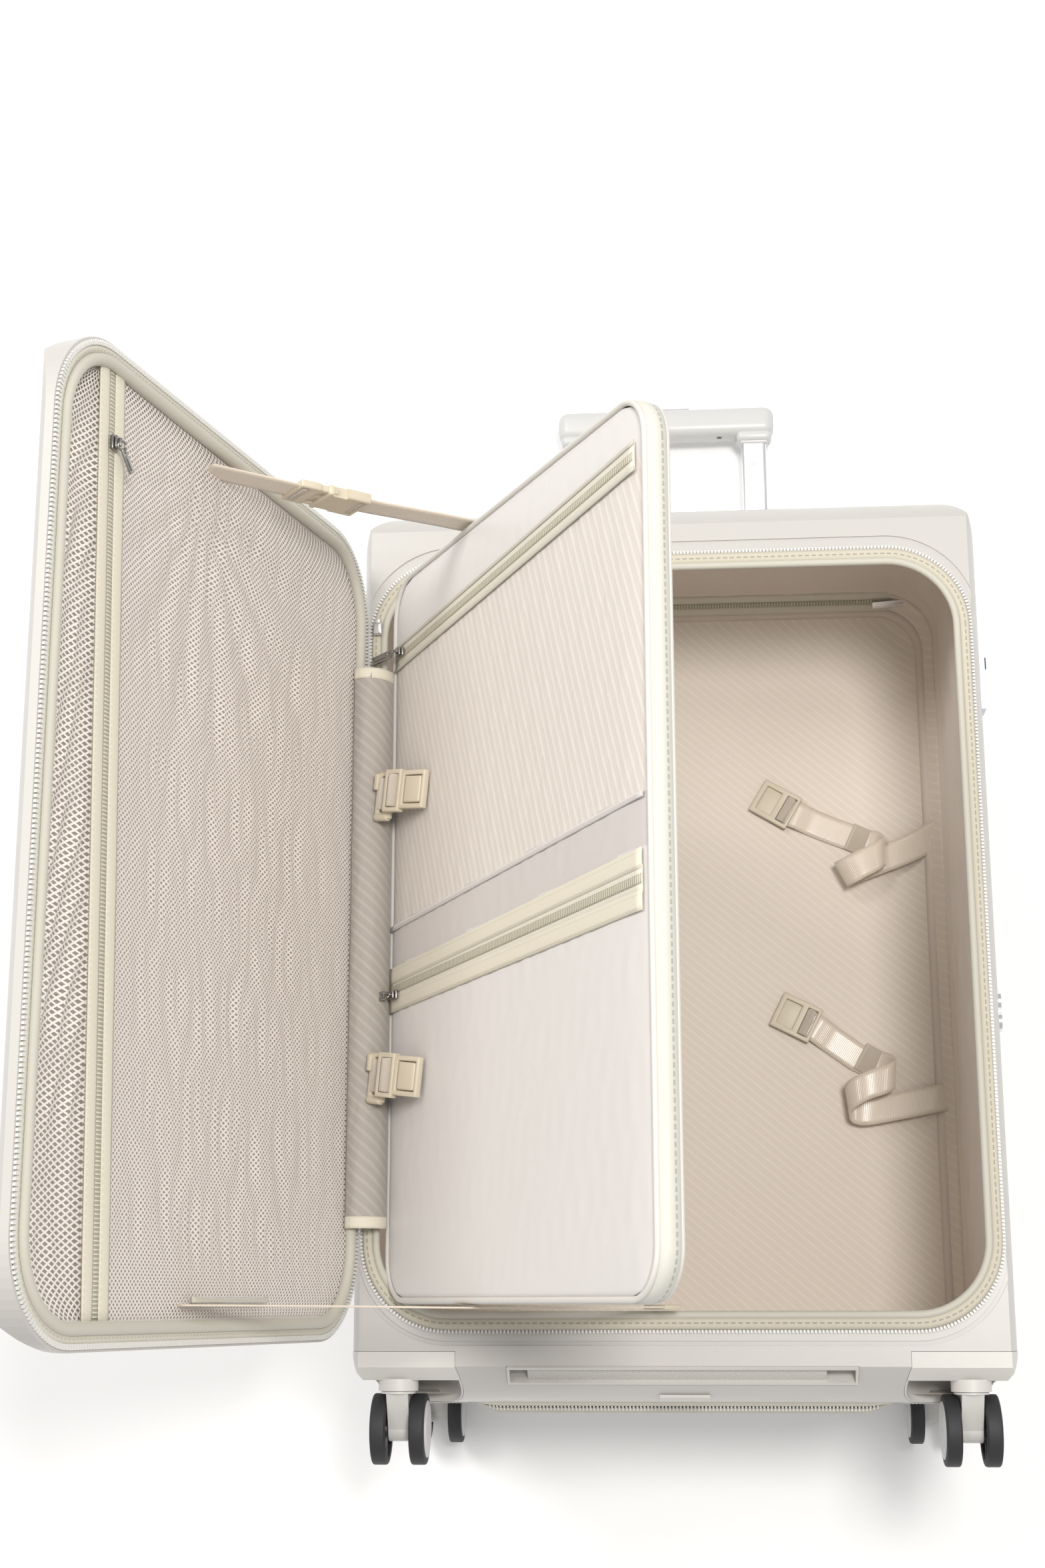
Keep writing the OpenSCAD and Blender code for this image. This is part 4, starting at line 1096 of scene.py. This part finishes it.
pairs = [
    (framed("socket", (35, 33, 8), (11, 0, 0), [(12.5, 0, 4, 25)], 1.8), BUCKLE),
    (framed("plug", (17, 33, 6), (-21, 0, 0), [(-3, 0, 4.5, 25)], 1.5), BUCKLE),
    (block("prong_a", (18, 5.5, 5), (-7, 12.6, 0), 1.4), BUCKLE),
    (block("prong_b", (18, 5.5, 5), (-7, -12.6, 0), 1.4), BUCKLE),
    (block("tongue", (18, 7, 3.6), (-7, 0, 0), 1.0), BUCKLE),
    (block("webbing_bar", (5, 24.5, 5.5), (23.5, 0, 1), 1.6), WEB),
    (block("webbing_bar_2", (5, 24.5, 5.5), (-24, 0, 1), 1.6), WEB),
]
cut(pairs[0][0], block("tool", (12, 7, 20), (3, 17, 0), 0))
cut(pairs[0][0], block("tool", (12, 7, 20), (3, -17, 0), 0))
c = S0 * (1, 0, 1) + (0, 285.0, 0) + S_DIR * 84.5 - S_UP * 2.0
finish_parts("check_buckle_body", pairs, axes_at(tuple(c), tuple(S_DIR), tuple(S_UP)), LID, "check_buckle",
             slot="buckle_plastic")

# cover over the lid's hinge
sec = smooth_through(np.array([(-251.5, 352), (-250.5, 358), (-244, 361.5), (-235, 360), (-227.5, 353.5),
                               (-223.5, 345), (-223, 338.5)], float), np.linspace(0, 1, 25))
ys = np.linspace(-231, 208, 90)
bulge = creases(17, 6, 1.6)
grid = np.zeros((len(sec), len(ys), 3))
for i, (x, z) in enumerate(sec):
    w = bulge(np.full(len(ys), i / 9.0), ys / 60.0) * math.sin(math.pi * i / (len(sec) - 1))
    grid[i] = np.column_stack([np.full(len(ys), x) - w * 0.3, ys, z + w])
o = surface("hinge_cover_cloth", grid, ys - ys[0], run_length(sec))
thicken(o, 1.0)
keep(o, HINGE_CLOTH, None, "hinge_cover", slot="lining")
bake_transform(o)
for k, (y0, y1) in enumerate(((200, 208.8), (-231.8, -223))):
    ys2 = np.linspace(y0, y1, 5)
    grid = np.array([np.column_stack([np.full(5, x + (x + 236) * 0.03), ys2, np.full(5, z + 0.7)]) for x, z in sec])
    o = surface(f"hinge_cover_hem_{k}", grid, ys2 - ys2[0], run_length(sec))
    thicken(o, 0.8)
    keep(o, RIBBON, None, slot="lining")
    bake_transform(o)

pairs = [(block("end_piece", (7.5, 10, 4), (0, 0, 0), 1.0), CHROME),
         (disc("end_stud", 2.6, 5, (0, 6, 0), "Z", 0.8), CHROME)]
finish_parts("lid_zip_end_piece", pairs, axes_at((-235.3, 246.6, 345), (1, 0, 0.2), (0, 1, 0)), RING, slot="zip_metal")


# ---------------------------------------------------------------- zip sliders


def slider(name, at, along, normal, pull_dir, length, width, body, node, finish=None, slot="zip_metal"):
    """Zip slider with its bridge, and a flat pull hanging from it."""
    finish = finish or NICKEL
    ex, ez = Vector(along).normalized(), Vector(normal).normalized()
    ey = ez.cross(ex).normalized()
    pairs = [
        (block("body", (10, 7.4, 2.6), (0, 0, 0), 1.1), finish),
        (block("top", (8.4, 6.4, 1.6), (0, 0, 2.6), 0.7), finish),
        (block("bridge", (6.0, 2.0, 3.0), (0, 0, 4.2), 0.9), finish),
    ]
    m = axes_at(at, ex, ey)
    o = finish_parts(name, pairs, m, body, node, slot=slot)
    px = Vector(pull_dir).normalized()
    py = ez.cross(px).normalized()
    start = Vector(at) + ez * 4.6
    blade = block("blade", (length, width, 1.5), (length / 2 + 4, 0, 0), 0)
    cut(blade, disc("tool", 1.3, 8, (6.4, 0, 0), "Z", 0))
    apply(blade, "BEVEL", width=0.5 * MM, segments=3, limit_method="ANGLE")
    ridge = block("blade_ridge", (length * 0.6, width * 0.34, 0.7), (length * 0.6 + 4, 0, 0.95), 0.25)
    pairs = [(blade, finish), (ridge, finish),
             (hoop("link", 2.9, 0.75, (2.4, 0, 0), (0.5, 0, 0)), finish)]
    finish_parts(name + "_pull", pairs, axes_at(tuple(start), px, py), body, slot="pull_metal")


d_n = (-math.sin(DIV_A), 0, math.cos(DIV_A))
d_u = (math.cos(DIV_A), 0.05, math.sin(DIV_A))
slider("upper_slider_body", tuple(in_divider(np.array([27.0, 221.5, 4.6]))), d_u, d_n, (-0.78, -0.2, -0.42), 19, 7.5,
       "divider_slider_up", "divider_slider_upper")
slider("lower_slider_body", tuple(in_divider(np.array([24.0, -55, 5.2]))), d_u, d_n, (-0.82, -0.08, -0.40), 17, 7.5,
       "divider_slider_low", "divider_slider_lower")
l_n = in_lid(np.array([0, 0, -1.0])) - in_lid(np.array([0, 0, 0.0]))
slider("lid_slider_body", tuple(in_lid(np.array([HINGE[0] + 413.0, 248, LID_Z - 1.0]))), (0, 1, 0), tuple(l_n),
       tuple(in_lid(np.array([-0.55, -0.84, -0.12])) - in_lid(np.array([0, 0, 0.0]))), 17, 5.5, "lid_slider",
       "lid_zip_slider")
slider("back_slider_body", (224, 343.2, 97.5), (1, 0, 0), (0, -0.91, 0.42), (-1, -0.03, -0.1), 33, 8.5,
       "back_slider", "back_zip_slider", CHROME)

# zip across the top of the back lining, on its slope


def back_zip_strip(name, y0, z0, y1, z1, lift, material, slot):
    xs = np.linspace(-218, 226, 60)
    rows = [np.column_stack([xs, np.full(60, y0 + (y1 - y0) * t) - lift * 0.91,
                             np.full(60, z0 + (z1 - z0) * t) + lift * 0.42])
            for t in np.linspace(0, 1, 4)]
    o = surface(name, np.array(rows), xs - xs[0], np.linspace(0, 1, 4) * math.hypot(y1 - y0, z1 - z0))
    thicken(o, 0.6)
    keep(o, material, BACK, slot=slot)


back_zip_strip("back_zip_tape_low", 336.5, 84, 341.5, 93.2, 0.9, ZIP_TAPE, "zip_tape")
back_zip_strip("back_zip_coil", 341.2, 92.8, 343.6, 98.2, 1.3, COIL, "zip_tape")
back_zip_strip("back_zip_tape_high", 343.4, 97.8, 347.8, 107, 0.9, ZIP_TAPE, "zip_tape")

# ---------------------------------------------------------------- waist zip

for tag, dz, body in (("front", 1.35, RING), ("rear", -1.35, BACK)):
    o = teeth_round(f"waist_teeth_{tag}", HALF_W + 0.7, HALF_L + 0.7, 50.7, SEAM_Z + dz, 2.8, (1.5, 1.8, 2.2), as_built)
    keep(o, TEETH_WHITE, body, slot="zip_white")
    o = hoops(f"waist_tape_{tag}", [(HALF_W + 0.3, HALF_L + 0.3, 50.3, SEAM_Z + dz * 1.2),
                                    (HALF_W + 0.9, HALF_L + 0.9, 50.9, SEAM_Z + dz * 2.6),
                                    (HALF_W + 0.2, HALF_L + 0.2, 50.2, SEAM_Z + dz * 4.2)], as_built)
    keep(thicken(o, 0.5), ZIP_TAPE_GREY, body, f"expansion_zip_{tag}", slot="zip_tape")

wx = np.linspace(-166, 166, 120)
swell = np.clip((166 - np.abs(wx)) / 26, 0, 1)
swell = swell * swell * (3 - 2 * swell)


def waist_swell(name, y0, y1, z0, z1, material, body):
    rows = [np.column_stack([wx, -(HALF_L + 0.4 + (y0 + (y1 - y0) * t) * swell),
                             np.full(120, SEAM_Z + z0 + (z1 - z0) * t)])
            for t in np.linspace(0, 1, 4)]
    o = surface(name, np.array(rows), wx - wx[0], np.linspace(0, 1, 4) * 3)
    thicken(o, 0.8)
    keep(o, material, body, slot="zip_tape")


def waist_row(name, y, z, body):
    xs = np.arange(-150, 150.1, 2.8)
    e = np.interp(xs, wx, swell)
    n = len(xs)
    c = np.column_stack([xs, -(HALF_L + 0.4 + y * e), np.full(n, SEAM_Z + z)])
    one = np.ones((n, 1))
    o = blocks(name, c, one * (1, 0, 0), one * (0, 1, 0), one * (0, 0, 1), (1.5, 1.9, 2.0))
    keep(o, TEETH_WHITE, body, slot="zip_white")


waist_swell("waist_fold_front", -1, 2.6, 9, 3.2, ZIP_TAPE, RING)
waist_row("waist_row_front", 3.4, 1.6, RING)
waist_row("waist_row_rear", 5.6, -1.6, BACK)
waist_swell("waist_fold_rear", 4.4, 8.0, -2.2, -4.5, PIPING, BACK)
waist_swell("waist_fold_under", 8.0, -1, -4.5, -13, ZIP_TAPE_GREY, BACK)

# ---------------------------------------------------------------- casters


def wheel(name, sx, side, body, node):
    """Tyre with a pale cap on its outer face and an open, ribbed inner face."""
    tyre = disc("tyre", 26.2, 11.5, (0, 0, 0), "X", 0, 72)
    cut(tyre, disc("tool", 19.5, 11, (-5, 0, 0), "X", 0, 48))
    apply(tyre, "BEVEL", width=1.6 * MM, segments=3, limit_method="ANGLE")
    pairs = [(tyre, TYRE), (disc("cap", 21.0, 1.2, (5.9, 0, 0), "X", 0.5, 48), HUB),
             (disc("cap_dome", 17.5, 1.2, (6.4, 0, 0), "X", 0.6, 48), HUB),
             (disc("axle_boss", 6.2, 9.5, (-0.9, 0, 0), "X", 0.6, 32), DARK)]
    for i in range(6):
        spoke = block("spoke", (7.0, 14.5, 2.0), (-1.5, 12.6, 0), 0.4, 2)
        spoke.data.transform(Matrix.Rotation(math.radians(60 * i), 4, "X"))
        pairs.append((spoke, DARK))
    lo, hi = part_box(node)
    centre = tuple((lo + hi) / 2 / MM)
    finish_parts(name, pairs, axes_at(centre, (side * sx, 0, 0), (0, 1, 0)), body, node, slot="wheel")


for tag, sx in (("fl", -1), ("fr", 1), ("rl", -1), ("rr", 1)):
    wheel(f"tyre_{tag}_out", sx, 1, f"wheel_{tag}_out_body", f"wheel_{tag}_out")
    wheel(f"tyre_{tag}_in", sx, -1, f"wheel_{tag}_in_body", f"wheel_{tag}_in")

# ---------------------------------------------------------------- grip and base

lo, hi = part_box("grip")
gy, gz = (lo.y + hi.y) / 2 / MM, (lo.z + hi.z) / 2 / MM
grip_lo = hi.y / MM - 29
bar = block("bar", (210, 29, 29), (0, grip_lo + 14.5, gz), 9.5, 6)
pairs = [(bar, GRIP)]
for sx in (-1, 1):
    pairs.append((block("boss", (34, 12, 24), (sx * 85.5, grip_lo - 0.5, gz), 5.4, 5), GRIP))
    pairs.append((block("collar", (27.5, 7, 17.5), (sx * 85.5, grip_lo - 5.2, gz), 2.4, 4), GRIP))
    # painted shade: a flat black disc, almost flush with the bar, stands in for the shade inside a screw well rather
    # than a modelled hole
    pairs.append((disc("screw_well_painted_shade", 2.6, 0.6, (sx * 52, grip_lo + 0.2, gz + 3), "Y", 0.1), DARK))
finish_parts("grip_body", pairs, Matrix(), "handle_inner", "grip", slot="grip_plastic")

a = math.radians(43.5)
f = Finish("hatched base panel", (0.66, 0.64, 0.60), 0.5)
h = f.pattern(STRIPE, Pitch=0.0022, Slope=1.0, Width=0.3)
h2 = f.pattern(STRIPE, Pitch=0.0022, Slope=-1.0, Width=0.3)
f.raise_by(h, 0.25).raise_by(h2, 0.25)
f.tint(h, (0.58, 0.56, 0.52), 0.5)
HATCH = f.done()
c = (0, -(282.7 + (78.29 - 3.2) * math.cos(a)), 275 + (78.29 - 3.2) * math.sin(a))
pairs = [(block("panel", (224, 16.4, 2.0), (-4, 0, 0), 0.8), HATCH)]
finish_parts("base_recess_panel", pairs, axes_at(c, (1, 0, 0), (0, math.sin(a), math.cos(a))), RING, slot="trim_plastic")
